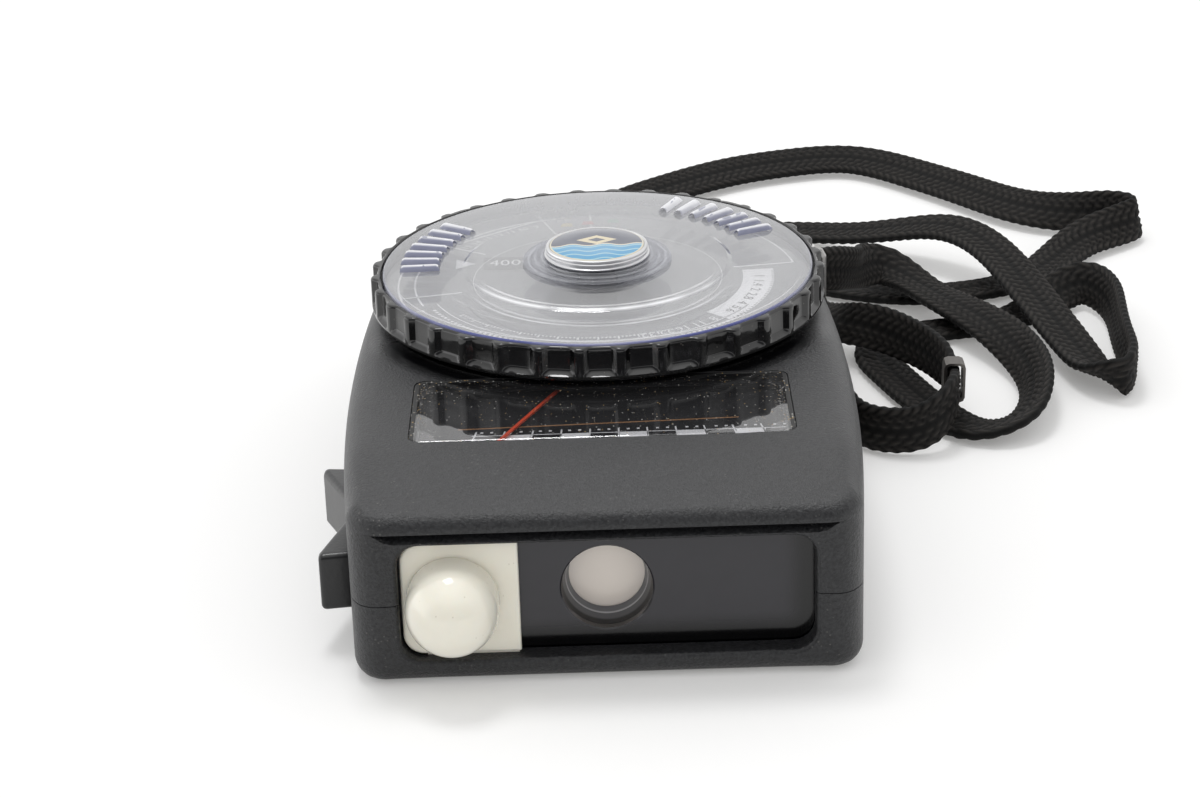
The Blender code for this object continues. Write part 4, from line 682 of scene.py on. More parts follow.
def case_plastic():
    """Matt moulded plastic with a spark-eroded grain and a little dust, worn smooth under the ring's front and painted
    dark there as shade.
    """
    finish = Finish("case_plastic")
    cloud = finish.noise(0.018, 3)
    grain = finish.noise(0.00042, 2, 0.6)
    fine = finish.noise(0.00018, 2, 0.6)
    dust = finish.specks(0.00015, 0.08) * finish.noise(0.010, 2).ramp(0.38, 0.70)
    dx, dy, radius = finish.from_dial()
    on_deck = finish.axes()[2].above(0.0265)
    # Painted shade: the deck just in front of the ring is painted near black, where the ring shades it, and is made
    # smoother there
    wear_and_painted_light = (1 - radius.ramp(0.0352, 0.0388)) * (dy / radius * -1).ramp(0.25, 0.65) * on_deck
    colour = finish.mix(cloud * 0.25 + grain.ramp(0.30, 0.70) * 0.75,
                        (0.0040, 0.0042, 0.0052), (0.0270, 0.0278, 0.0300))
    # The painted shade in front of the ring
    colour = finish.mix(wear_and_painted_light, colour, (0.0022, 0.0022, 0.0026))
    finish.set(Base_Color=finish.mix(dust * 0.5, colour, (0.16, 0.155, 0.145)),
               Roughness=(0.29 + 0.12 * cloud + 0.08 * grain) * (1 - 0.70 * wear_and_painted_light))
    finish.bump((grain * 0.65 + fine * 0.35) * (1 - 0.85 * wear_and_painted_light), 0.00022)
    return finish


case_finish = case_plastic()
piece("top_shell_moulding", top_shell_form(), case_finish, "case", ["top_shell"], 30)
piece("bottom_shell_moulding", bottom_shell_form(), case_finish, "case", ["bottom_shell"], 30)

# ---------------------------------------------------------------------------------------------
# Finishes that several pieces share
# ---------------------------------------------------------------------------------------------

def gloss_black():
    """Polished black plastic with hand marks and a little dust."""
    finish = Finish("gloss_black", Specular_IOR_Level=0.7)
    smear = finish.noise(0.006, 4, 0.65, stretch=(1, 1, 0.4))
    dust = finish.specks(0.00010, 0.012)
    finish.set(Base_Color=finish.mix(dust * 0.5, (0.0022, 0.0021, 0.0022), (0.20, 0.19, 0.17)),
               Roughness=0.05 + 0.13 * smear.ramp(0.35, 0.85))
    finish.bump(smear * 0.6 + finish.noise(0.0009, 2) * 0.4, 0.00002)
    return finish


def metal(name, colour, roughness, lathe_rings=False):
    """Bare metal, brushed or with lathe rings about the dial's axis."""
    finish = Finish(name, Metallic=1.0)
    if lathe_rings:
        across = finish.node("ShaderNodeCombineXYZ", values=[finish.from_dial()[2], finish.axes()[2], 0.0])
        rings = finish.noise(0.00012, 2, vector=across)
    else:
        rings = finish.noise(0.0005, 3, 0.6, stretch=(1, 0.15, 1))
    stain = finish.noise(0.004, 3)
    finish.set(Base_Color=finish.mix(stain * 0.6 + rings * 0.3, colour, tuple(0.62 * c for c in colour)),
               Roughness=roughness + 0.18 * stain * rings)
    finish.bump(rings, 0.00001)
    return finish


def plain_plastic(name, colour, roughness, lump=0.0008, depth=0.00002, mottle=0.16):
    """Smooth moulded plastic or paint with faint mottling and handling marks."""
    finish = Finish(name)
    cloud, fine = finish.noise(0.007, 3), finish.noise(lump, 2)
    finish.set(Base_Color=finish.mix(cloud, colour, tuple((1 - mottle) * c for c in colour)),
               Roughness=roughness + 0.12 * (cloud - 0.5))
    finish.bump(fine, depth)
    return finish


def clear_plastic(name, haze, tint, gloss=1.0, roughness=0.05, lean=0.0):
    """Clear plastic: what is behind it, a mirror that grows at a glancing view, and a haze of dust and scratches.

    lean tips the mirror forward, as a slope, for a sheet that isn't quite level.
    """
    finish = Finish(name)
    facing = finish.node("ShaderNodeLayerWeight", values={"Blend": 0.5}, output=1)
    through = finish.node("ShaderNodeBsdfTransparent", values={"Color": tint})
    slope = finish.node("ShaderNodeBump", values={"Height": finish.axes()[1] * lean, "Distance": 1.0, "Strength": 1.0})
    mirror = finish.node("ShaderNodeBsdfAnisotropic",
                         values={"Color": (1, 1, 1), "Roughness": roughness, "Normal": slope})
    skin = finish.node("ShaderNodeMixShader", values=[gloss * (0.04 + 0.96 * facing ** 5), through, mirror])
    cloud = finish.noise(0.009, 4, 0.6)
    scratch = finish.noise(0.0006, 3, 0.7, stretch=(1, 0.12, 1))
    veil = haze(finish, cloud, scratch)
    finish.end(finish.node("ShaderNodeMixShader", values=[veil, skin, Value(finish, finish.shader.outputs[0])]))
    return finish


black_finish = gloss_black()
steel_finish = metal("bright_steel", (0.52, 0.51, 0.50), 0.30)
aluminium_finish = metal("turned_aluminium", (0.83, 0.83, 0.84), 0.26, lathe_rings=True)
brass_finish = metal("brass", (0.72, 0.52, 0.24), 0.32)

# ---------------------------------------------------------------------------------------------
# Calculator dial
# ---------------------------------------------------------------------------------------------

RING_RADIUS, RING_WALL, RING_LOW, RING_HIGH, RING_FLOOR_TOP = 0.0341, 0.00145, 0.0282, 0.0329, 0.0297
RING_FOOT_EDGE, RING_TOP_EDGE = 0.0003, 0.00045
SCALLOPS, SCALLOP_DEPTH, SCALLOP_SILL, SCALLOP_CURVE = 36, 0.00092, 0.00055, 0.0009
SCALLOP_COLUMNS = 18         # points across one pocket and its rib
POCKET_FOOT = 0.94           # how deep a pocket is at its foot, as a share of its depth at the top
RIB_SHARE, POCKET_SIDE = 0.86, 0.42
SLEEVE_LENGTH, SLEEVE_RADIUS, RING_BORE = 0.0073, 0.0046, 0.0031
CLEAR_RADIUS, CLEAR_LOW, CLEAR_HIGH, CLEAR_EDGE = 0.03235, 0.0308, 0.0330, 0.0004
STEP_RADIUS, STEP_HIGH = 0.0200, 0.0334
GRIP_INNER, GRIP_LENGTH, GRIP_WIDTH, GRIP_HEIGHT, GRIPS = 0.0236, 0.0062, 0.0015, 0.0010, 7
GRIP_PITCH, GRIP_GROUPS = math.radians(6.4), (math.radians(163.0), math.radians(44.5))
QUARTER_BEND = (0.4, 0.8, 1.2, 1.57)


def on_dial(radius, angle, z):
    return (DIAL[0] + radius * math.cos(angle), DIAL[1] + radius * math.sin(angle), z)


def scalloped_ring():
    """The ring's wall is pressed in between ribs, and the pockets are rounded at the bottom and open at the top."""
    count = SCALLOPS * SCALLOP_COLUMNS
    pocket = []
    for k in range(SCALLOP_COLUMNS):
        u = abs(2 * k / SCALLOP_COLUMNS - 1)
        pocket.append(smooth((1 - u / RIB_SHARE) / POCKET_SIDE) * (0.72 + 0.28 * (1 - u * u)))
    # Rows up the outer wall: height, how far the edge is drawn in there, and how much of the pocket shows
    low = RING_LOW + SCALLOP_SILL
    high, brim = low + SCALLOP_CURVE, RING_HIGH - RING_TOP_EDGE
    rows = [(RING_LOW + RING_FOOT_EDGE * (1 - math.cos(a)), RING_FOOT_EDGE * (1 - math.sin(a)), 0)
            for a in (0, 0.5, 1.0, 1.57)]
    rows += [(low + (high - low) * k / 6, 0, POCKET_FOOT * math.sin(math.pi / 2 * k / 6) ** 0.8) for k in range(7)]
    rows += [(high + (brim - high) * k / 3, 0, POCKET_FOOT + (1 - POCKET_FOOT) * k / 3) for k in (1, 2, 3)]
    rows += [(RING_HIGH - RING_TOP_EDGE * (1 - math.sin(a)), RING_TOP_EDGE * (1 - math.cos(a)), 1)
             for a in QUARTER_BEND]
    turns = [math.tau * (i / count + 0.5 / SCALLOPS) for i in range(count)]
    loops = [[on_dial(RING_RADIUS - edge - SCALLOP_DEPTH * share * pocket[i % SCALLOP_COLUMNS], turns[i], z)
              for i in range(count)] for z, edge, share in rows]
    inner, foot = RING_RADIUS - RING_WALL, RING_LOW - SLEEVE_LENGTH
    inside = [(inner + 0.0002, RING_HIGH), (inner, RING_HIGH - 0.0002), (inner, RING_FLOOR_TOP),
              (RING_BORE, RING_FLOOR_TOP), (RING_BORE, foot), (SLEEVE_RADIUS, foot), (SLEEVE_RADIUS, RING_LOW)]
    loops += [[on_dial(r, turn, z) for turn in turns] for r, z in inside]
    loops.append(loops[0])
    bm = loft(loops, caps=False)
    bmesh.ops.remove_doubles(bm, verts=bm.verts, dist=1e-7)
    return bm


piece("knurled_ring", scalloped_ring(), black_finish, "dial", ["dial_ring"], 28)


def grip_bar(bm, angle):
    """A clear bar with a rounded back and slanting ends, as one closed form let into the disc."""
    middle, half = GRIP_INNER + GRIP_LENGTH / 2, GRIP_LENGTH / 2
    rings = []
    for k in range(9):
        turn = math.pi * k / 8
        rise, out = math.sin(turn) ** 0.7, math.cos(turn)
        ring = []
        for along in (-1.0, -0.96, -0.85, 0.85, 0.96, 1.0):
            end = abs(along) ** 8
            ring.append((middle + along * (half - 0.0003 * rise), out * GRIP_WIDTH / 2 * (1 - 0.25 * rise),
                         CLEAR_HIGH - 0.0001 + (GRIP_HEIGHT + 0.0001) * rise * (1 - 0.25 * end)))
        rings.append([(DIAL[0] + r * math.cos(angle) - v * math.sin(angle),
                       DIAL[1] + r * math.sin(angle) + v * math.cos(angle), z) for r, v, z in ring])
    loft(rings, bm, caps=False, closed=False)


def film_disc_form():
    edge_radius, edge_z = CLEAR_RADIUS - CLEAR_EDGE, CLEAR_HIGH - CLEAR_EDGE
    profile = [(RING_BORE, CLEAR_LOW), (CLEAR_RADIUS - 0.0003, CLEAR_LOW), (CLEAR_RADIUS, CLEAR_LOW + 0.0003),
               (CLEAR_RADIUS, edge_z)]
    profile += [(edge_radius + CLEAR_EDGE * math.cos(a), edge_z + CLEAR_EDGE * math.sin(a)) for a in QUARTER_BEND]
    profile += [(STEP_RADIUS + 0.0003, CLEAR_HIGH), (STEP_RADIUS + 0.0001, CLEAR_HIGH + 0.0001),
                (STEP_RADIUS - 0.0002, STEP_HIGH - 0.0001), (STEP_RADIUS - 0.0004, STEP_HIGH), (RING_BORE, STEP_HIGH)]
    bm = turned(profile, DIAL, 160, hollow=True)
    for group in GRIP_GROUPS:
        for n in range(GRIPS):
            grip_bar(bm, group + (n - (GRIPS - 1) / 2) * GRIP_PITCH)
    return bm


def disc_haze(finish, cloud, scratch):
    """Milky haze painted lighter towards the back, painted white glints at the front of the raised middle, a deep blue
    rim painted stronger at the front, and grips painted with white highlights and navy shade.
    """
    dx, dy, radius = finish.from_dial()
    front = (dy / radius * -1).ramp(-0.05, 0.85)
    # Painted light: the blue rim is painted stronger at the front
    rim = radius.ramp(0.03185, 0.03215) * (0.30 + 0.70 * front)
    patch = finish.noise(0.011, 2).ramp(0.35, 0.6)

    def line(at, width):
        return 1 - (abs(radius - at) / width).math("MINIMUM", 1.0)

    # Faint rings of moulding and wear, painted white as highlight and strongest at the front
    round_dial = finish.node("ShaderNodeCombineXYZ", values=[radius, dy.math("ARCTAN2", dx) * 0.0012, 0.0])
    wear_and_painted_light = finish.noise(0.0011, 3, 0.6, vector=round_dial).ramp(0.46, 0.72) * front * radius.above(0.0195)
    # Painted highlights: white arcs at the front of the raised middle and near the rim, and the wear rings
    glint = (line(0.01985, 0.00060).either(0.8 * line(0.01870, 0.00050)) * (0.6 + 0.4 * patch) * front).either(
        0.6 * line(0.0311, 0.00035) * (0.25 + 0.75 * front)).either(0.30 * wear_and_painted_light)
    # The grips are painted light: their faces towards the front get painted navy shade, with painted dark streaks on
    # their tops, and the rest is painted white highlight
    grip = finish.axes()[2].above(CLEAR_HIGH + 0.00006) * radius.above(0.0220)
    _, ny, nz = finish.axes(finish.coordinate(NORMAL_OUT))
    streak = finish.noise(0.0016, 2, 0.6, stretch=(1, 0.4, 1))
    navy = (ny * -1).ramp(0.35, 0.75) * 0.8 + streak.above(0.62) * nz.above(0.8) * 0.5
    colour = finish.mix(rim, (0.60, 0.605, 0.62), (0.030, 0.045, 0.26))
    colour = finish.mix(glint, colour, (0.96, 0.96, 0.98))
    colour = finish.mix(grip, colour, finish.mix(navy, (0.92, 0.92, 0.95), (0.060, 0.075, 0.20)))
    finish.set(Base_Color=colour)
    # Painted light: the milky haze is painted stronger towards the back of the disc
    haze_and_painted_light = 0.03 + 0.08 * cloud + 0.06 * scratch + 0.24 * dy.ramp(-0.012, 0.030)
    return haze_and_painted_light.either(0.9 * rim).either(glint).either(0.80 * grip)


film_finish = clear_plastic("clear_disc", disc_haze, tint=(0.97, 0.97, 0.98), gloss=1.65)
piece("clear_film_disc", film_disc_form(), film_finish, "film_dial", ["film_disc"], 25)


# Prints, as thin raised ink

class Ink:
    """Collects flat print in one colour: rings, ticks, bars and figures about the dial's middle."""

    def __init__(self, z):
        self.bm, self.z = bmesh.new(), z

    def quad(self, points):
        self.bm.faces.new([self.bm.verts.new(p) for p in points])

    def ring(self, low, high, start=0.0, end=360.0):
        steps = max(2, int(abs(end - start) / 2))
        turns = [math.radians(start + (end - start) * k / steps) for k in range(steps + 1)]
        for a, b in zip(turns, turns[1:]):
            self.quad([on_dial(r, turn, self.z) for r, turn in ((low, a), (high, a), (high, b), (low, b))])

    def line(self, start, end, width):
        start, end = (Vector((*point[:2], self.z)) for point in (start, end))
        side = Vector((start.y - end.y, end.x - start.x, 0)).normalized() * width / 2
        self.quad([start - side, end - side, end + side, start + side])

    def tick(self, low, high, angle, width):
        a = math.radians(angle)
        self.line(on_dial(low, a, 0), on_dial(high, a, 0), width)

    def ticks(self, low, high, start, end, count, width, every=0, long=0.0):
        for k in range(count):
            extra = long if every and k % every == 0 else 0
            self.tick(low, high + extra, start + (end - start) * k / max(1, count - 1), width)

    def word(self, text, place, size, turn):
        """Figures set at a place, turned by degrees."""
        curve = bpy.data.curves.new("figures", "FONT")
        curve.body, curve.size, curve.align_x, curve.align_y = text, size, "CENTER", "CENTER"
        curve.resolution_u = 2
        obj = bpy.data.objects.new("figures", curve)
        bpy.context.scene.collection.objects.link(obj)
        bpy.context.view_layer.update()
        mesh = bpy.data.meshes.new_from_object(obj.evaluated_get(bpy.context.evaluated_depsgraph_get()))
        mesh.transform(Matrix.Translation((place[0], place[1], self.z)) @ Matrix.Rotation(math.radians(turn), 4, "Z"))
        self.bm.from_mesh(mesh)
        bpy.data.objects.remove(obj, do_unlink=True)
        bpy.data.meshes.remove(mesh)

    def figures(self, texts, radius, start, step, size):
        """A row of figures round the dial, with their feet towards its middle."""
        for n, text in enumerate(texts):
            angle = start + step * n
            self.word(text, on_dial(radius, math.radians(angle), 0), size, angle - 90)

    def done(self, name, finish, body, slot="print_dark"):
        """Gives the ink its thickness and makes a piece of it."""
        for v in self.bm.verts:
            v.co.z = self.z
        top = bmesh.ops.extrude_face_region(self.bm, geom=list(self.bm.faces))
        lifted = [g for g in top["geom"] if isinstance(g, bmesh.types.BMVert)]
        bmesh.ops.translate(self.bm, verts=lifted, vec=(0, 0, INK_THICK))
        return piece(name, self.bm, finish, body)


PRINT_Z, INK_THICK = 0.03052, 0.00002
ink_white = plain_plastic("ink_white", (0.93, 0.93, 0.93), 0.6, mottle=0.08)
ink_dark = plain_plastic("ink_dark", (0.02, 0.02, 0.022), 0.6)
ink_yellow = plain_plastic("ink_yellow", (0.72, 0.52, 0.06), 0.6)
ink_red = plain_plastic("ink_red", (0.62, 0.06, 0.04), 0.6)
ink_green = plain_plastic("ink_green", (0.05, 0.34, 0.14), 0.6)
STOPS = ("1", "1.4", "2", "2.8", "4", "5.6", "8", "11", "16", "22", "32")
TIMES = ("2", "4", "8", "15", "30", "60", "125", "250", "500", "1000", "2000")
LEVELS = ("9", "10", "11", "12", "13", "14", "15")

# Radii in metres and angles in degrees: rings, rows of ticks, single ticks and rows of figures
white = Ink(PRINT_Z)
for row in ((0.0219, 0.0266, -44, 4), (0.0274, 0.0277, 100, 200), (0.0299, 0.0302, 150, 262),
            (0.0299, 0.0302, 8, 92), (0.0253, 0.0255, 200, 330)):
    white.ring(*row)
for row in ((0.0264, 0.0269, 205, 322, 62, 0.0005), (0.0237, 0.0241, 214, 296, 60, 0.00028, 5, 0.0005),
            (0.0297, 0.0303, 200, 318, 60, 0.00012, 5, 0.0004)):
    white.ticks(*row)
for angle in (8, 92, 108, 146, 192):
    white.tick(0.0208, 0.0299, angle, 0.00034)
white.tick(0.0262, 0.0266, 127, 0.0150)
for row in ((TIMES, 0.0288, 204, 11.0, 0.0023), (STOPS[6:], 0.0243, -47, -6.6, 0.0023),
            (LEVELS, 0.0252, 112, 5.2, 0.0018)):
    white.figures(*row)
white.done("dial_print_white", ink_white, "dial")
dark = Ink(PRINT_Z + 0.00003)
dark.figures(STOPS[:6], 0.0243, -3, -6.6, 0.0022)
dark.ticks(0.0262, 0.0266, -42, 2, 26, 0.00016)
dark.done("dial_print_dark", ink_dark, "dial")

marks = Ink(CLEAR_LOW - 0.00015)
marks.quad([(-0.0216, 0.0189, 0), (-0.0216, 0.0149, 0), (-0.0186, 0.0169, 0)])
marks.word("400", (-0.0141, 0.0169), 0.0033, 0)
marks.ring(0.0187, 0.0188)
marks.done("film_mark_white", ink_white, "film_dial")
panel = Ink(CLEAR_LOW - 0.00019)
panel.quad([(-0.0174, 0.0195, 0), (-0.0106, 0.0195, 0), (-0.0106, 0.0142, 0), (-0.0174, 0.0142, 0)])
panel.done("film_mark_panel", ink_dark, "film_dial")
SPOT_CORNERS = ((-0.0010, -0.0007), (0.0010, -0.0007), (0.0007, 0.0008), (-0.0007, 0.0008))
for name, finish, x, y in (("yellow", ink_yellow, -0.0046, 0.0330), ("red", ink_red, -0.0013, 0.0337),
                           ("green", ink_green, 0.0027, 0.0342)):
    spot = Ink(CLEAR_LOW - 0.00015)
    spot.quad([(x + dx, y + dy, 0) for dx, dy in SPOT_CORNERS])
    spot.done("film_mark_" + name, finish, "film_dial")

scale_disc_finish = plain_plastic("dial_face_grey", (0.215, 0.217, 0.225), 0.42)
dial_face = turned([(RING_BORE, 0.0300), (0.0322, 0.0300), (0.0322, 0.0305), (RING_BORE, 0.0305)], DIAL, 120,
                   hollow=True)
piece("dial_face", dial_face, scale_disc_finish, "dial", ["scale_disc"])

# Hub: a clear flange, a turned cap and a round enamel badge of a plain pattern

def hub_haze(finish, cloud, scratch):
    rings = (finish.from_dial()[2] * 6200).sine().ramp(0.2, 0.9)
    finish.set(Base_Color=finish.mix(rings, (0.24, 0.245, 0.26), (0.66, 0.67, 0.70)))
    return 0.08 + 0.10 * cloud + 0.05 * scratch + 0.10 * rings


hub_finish = clear_plastic("clear_hub", hub_haze, tint=(0.89, 0.895, 0.92))
flange = [(RING_BORE, 0.0337), (0.0111, 0.0337), (0.0112, 0.0338), (0.0111, 0.0339), (0.0103, 0.0339),
          (0.0102, 0.0340), (0.0101, 0.0341), (0.0094, 0.0341), (0.0093, 0.0342), (0.0092, 0.0344),
          (RING_BORE, 0.0344)]
piece("clear_flange", turned(flange, DIAL, hollow=True), hub_finish, "case", ["hub_base"], 25)
cap = [(0.0079, 0.0346), (0.0079, 0.03475), (0.00765, 0.0349), (0.00765, 0.0351), (0.00775, 0.0352),
       (0.00775, 0.0354), (0.00765, 0.0355), (0.00765, 0.0357), (0.00765, 0.0358), (0.00758, 0.03594),
       (0.00745, 0.0360), (0.0072, 0.0360), (0.00715, 0.03594), (0.00712, 0.0357)]
piece("turned_cap", turned(cap, DIAL), aluminium_finish, "case", ["hub_cap"], 25)


def badge_enamel():
    """Generic badge: a navy field over a sky-blue one with waves between them, and a pale lozenge in the middle."""
    finish = Finish("badge_enamel", roughness=0.10, Coat_Weight=0.6, Coat_Roughness=0.04)
    navy = (0.020, 0.026, 0.065)
    u, v = (distance / 0.0070 for distance in finish.from_dial()[:2])
    height = v - (u * 9).sine() * 0.055
    low_field = height.below(-0.08)
    bands = (height * 26).sine().above(0.72) * low_field
    lozenge = abs(u) * 0.62 + abs(v - 0.22)
    rim = (u ** 2 + v ** 2).above(0.955)
    colour = finish.mix(low_field, navy, (0.050, 0.33, 0.60))
    colour = finish.mix(bands, colour, (0.33, 0.60, 0.68))
    colour = finish.mix(abs(height + 0.08).below(0.03).either(rim), colour, (0.72, 0.66, 0.50))
    colour = finish.mix(lozenge.below(0.27), colour, (0.74, 0.63, 0.40))
    colour = finish.mix(lozenge.below(0.12), colour, navy)
    finish.set(Base_Color=finish.mix(finish.noise(0.0012, 3) * 0.25, colour, (0.30, 0.32, 0.36)))
    finish.bump(finish.noise(0.0012, 2), 0.00001)
    return finish


badge = turned([(0.0071, 0.0358), (0.0071, 0.03596), (0.0069, 0.03604), (0.0040, 0.03612)], DIAL)
piece("badge", badge, badge_enamel(), "case", ["hub_emblem"], 25)

# ---------------------------------------------------------------------------------------------
# Light window: panel, cone, filter, diffuser plate and dome
# ---------------------------------------------------------------------------------------------

PANEL_FRONT, PANEL_THICK, PANEL_LIP = -0.0566, 0.0012, 0.0009
LENS_RADIUS, CONE_DEPTH, FILTER_RADIUS = 0.0061, 0.0030, 0.0062
PLATE_LEFT, PLATE_RIGHT, PLATE_FRONT, PLATE_THICK = -0.0272, -0.0116, -0.0584, 0.0015
PLATE_LOW, PLATE_HIGH, PLATE_CORNER = WINDOW_LOW + GAP, WINDOW_HIGH - GAP, 0.0028
DOME_X, DOME_RADIUS, DOME_NECK, DOME_WALL, DOME_POLE = -0.0204, 0.00615, 0.0032, 0.0011, 0.00004
TONGUE_Y, TONGUE_HALF, TONGUE_RISE = PLATE_FRONT + PLATE_THICK / 2, 0.0003, 0.0007


def lens_panel_form():
    points = rounded(WINDOW_HALF + PANEL_LIP, WINDOW_HALF_TALL + PANEL_LIP, 0.003, 10, centre=(0, WINDOW_Z))
    tray = loft([[(x, y, z) for x, z in points] for y in (PANEL_FRONT, PANEL_FRONT + PANEL_THICK)])
    hole = [(LENS_RADIUS, -PANEL_THICK - GAP), (LENS_RADIUS, -0.0002), (LENS_RADIUS + 0.0002, 0.0),
            (LENS_RADIUS + 0.0004, 0.0004)]
    return cut(tray, [facing(turned(hole, (0, 0)), (0, PANEL_FRONT, WINDOW_Z))])


def panel_finish():
    finish = Finish("lens_panel_black")
    cloud = finish.noise(0.008, 4, 0.6)
    # Painted shade: the panel is painted near black along its lower edge and at its right end, where the window's frame
    # shades it, and its lit middle is mottled
    x, y, z = finish.axes()
    in_x = x.ramp(WINDOW_HALF - 0.0008, WINDOW_HALF - 0.0045)
    in_z = z.ramp(WINDOW_LOW + 0.0012, WINDOW_LOW + 0.0045)
    lit = in_x * in_z * (0.80 + 0.35 * cloud)
    finish.set(Base_Color=finish.mix(lit, (0.0006, 0.0006, 0.0008), (0.0270, 0.0260, 0.0310)),
               Roughness=0.10 + 0.08 * cloud)
    finish.bump(finish.noise(0.0009, 3), 0.000004)
    return finish


piece("lens_panel_plate", lens_panel_form(), panel_finish(), "case", ["lens_panel"])
cone_front = PANEL_FRONT + PANEL_THICK + GAP
cone_profile = [(LENS_RADIUS + 0.0016, -CONE_DEPTH), (LENS_RADIUS + 0.0016, 0), (LENS_RADIUS + 0.0001, 0),
                (0.0051, -CONE_DEPTH)]


def cone_finish():
    """Grey cone with a painted step: black at its mouth, then two greys with a painted highlight on the step's edge
    between them.
    """
    finish = Finish("cone_stepped_grey")
    deep = (finish.axes()[1] - cone_front) / CONE_DEPTH
    cloud = finish.noise(0.002, 3)
    grey = finish.mix(deep.ramp(0.62, 0.66), (0.11, 0.113, 0.12), (0.17, 0.174, 0.184))
    # Painted highlight: a bright line along the painted step's edge
    grey = finish.mix(deep.near(0.64, 0.045), grey, (0.46, 0.46, 0.475))
    grey = finish.mix(deep.ramp(0.20, 0.34), (0.006, 0.006, 0.007), grey)
    finish.set(Base_Color=finish.mix(cloud * 0.4, grey, (0.06, 0.06, 0.065)), Roughness=0.26 + 0.10 * cloud)
    finish.bump(cloud, 0.00001)
    return finish


piece("light_cone", facing(turned(cone_profile, (0, 0), hollow=True), (0, cone_front, WINDOW_Z)), cone_finish(),
      "case", ["lens_cone"])
filter_front = cone_front + CONE_DEPTH + GAP
filter_profile = [(FILTER_RADIUS, -0.0010), (FILTER_RADIUS, -0.0001), (FILTER_RADIUS - 0.0001, 0), (0.004, 0.00008),
                  (0.002, 0.00014)]


def filter_finish():
    """Opal glass, a little darker towards its edge."""
    finish = Finish("opal_glass", roughness=0.22, Coat_Weight=0.3)
    x, y, z = finish.axes()
    radius = (x ** 2 + (z - WINDOW_Z) ** 2) ** 0.5
    edge = radius.ramp(0.0030, 0.0053)
    colour = finish.mix(edge, (0.97, 0.885, 0.80), (0.90, 0.825, 0.755))
    finish.set(Base_Color=finish.mix(finish.noise(0.003, 3) * 0.3, colour, (0.90, 0.81, 0.73)))
    finish.bump(finish.noise(0.0007, 2), 0.00001)
    return finish


piece("opal_filter", facing(turned(filter_profile, (0, 0), 64), (0, filter_front, WINDOW_Z)), filter_finish(), "case",
      ["cell_filter"])


def plate_form():
    """Sliding plate with a softened face, a finger notch at its foot and tongues in the window's grooves."""
    middle_x, half_x = (PLATE_LEFT + PLATE_RIGHT) / 2, (PLATE_RIGHT - PLATE_LEFT) / 2
    half_z = (PLATE_HIGH - PLATE_LOW) / 2
    rings = []
    for depth, inset in ((0, 0.0003), (0.0001, 0.0001), (0.0003, 0), (PLATE_THICK, 0)):
        corner = PLATE_CORNER - inset
        points = rounded(half_x - inset, half_z - inset, 0, 10, (middle_x, WINDOW_Z), (0.0002, corner, corner, 0.0002))
        rings.append([(x, PLATE_FRONT + depth, z) for x, z in points])
    tongue = block((PLATE_LEFT + 0.0031, TONGUE_Y - TONGUE_HALF, PLATE_LOW - TONGUE_RISE),
                   (PLATE_RIGHT - GAP, TONGUE_Y + TONGUE_HALF, PLATE_HIGH + TONGUE_RISE))
    notch = block((middle_x + GAP, PLATE_FRONT - GAP, PLATE_LOW - 0.001),
                  (middle_x + 0.0043, TONGUE_Y - TONGUE_HALF, PLATE_LOW + 0.0003))
    return cut(cut(loft(rings), [tongue], "UNION"), [notch])


def ivory(name, gloss):
    """Creamy plastic that lets a little light in."""
    finish = Finish(name, Subsurface_Weight=0.25, Subsurface_Radius=(0.9, 0.75, 0.6), Subsurface_Scale=0.0012,
                    Coat_Weight=0.35, Coat_Roughness=0.05)
    cloud = finish.noise(0.006, 4, 0.6)
    grime = finish.specks(0.00012, 0.008)
    colour = finish.mix(cloud, (0.935, 0.900, 0.790), (0.895, 0.855, 0.735))
    finish.set(Base_Color=finish.mix(grime * 0.3, colour, (0.40, 0.33, 0.22)), Roughness=gloss + 0.06 * (cloud - 0.5))
    finish.bump(finish.noise(0.0011, 3), 0.000012)
    return finish


piece("diffuser_slide", plate_form(), ivory("ivory_plate", 0.36), "diffuser", ["diffuser_plate"], 18)


def dome_form():
    """A hollow dome on a short neck, as one closed profile."""
    def half_round(radius, steps):
        return [(radius * math.cos(math.pi / 2 * k / steps), DOME_NECK + radius * math.sin(math.pi / 2 * k / steps))
                for k in range(1, steps)]

    inner = DOME_RADIUS - DOME_WALL
    profile = [(DOME_RADIUS, 0.0), (DOME_RADIUS, DOME_NECK * 0.5), (DOME_RADIUS, DOME_NECK)]
    profile += half_round(DOME_RADIUS, 28) + [(DOME_POLE, DOME_NECK + DOME_RADIUS), (DOME_POLE, DOME_NECK + inner)]
    profile += half_round(inner, 16)[::-1] + [(inner, DOME_NECK), (inner, 0.0)]
    return facing(turned(profile, (0, 0), hollow=True), (DOME_X, PLATE_FRONT - GAP, WINDOW_Z))


piece("diffuser_bulb", dome_form(), ivory("ivory_dome", 0.13), "diffuser", ["diffuser_dome"], 50)

# ---------------------------------------------------------------------------------------------
# Meter window: pane, scale and needle
# ---------------------------------------------------------------------------------------------

SCALE_TOP = 0.0245


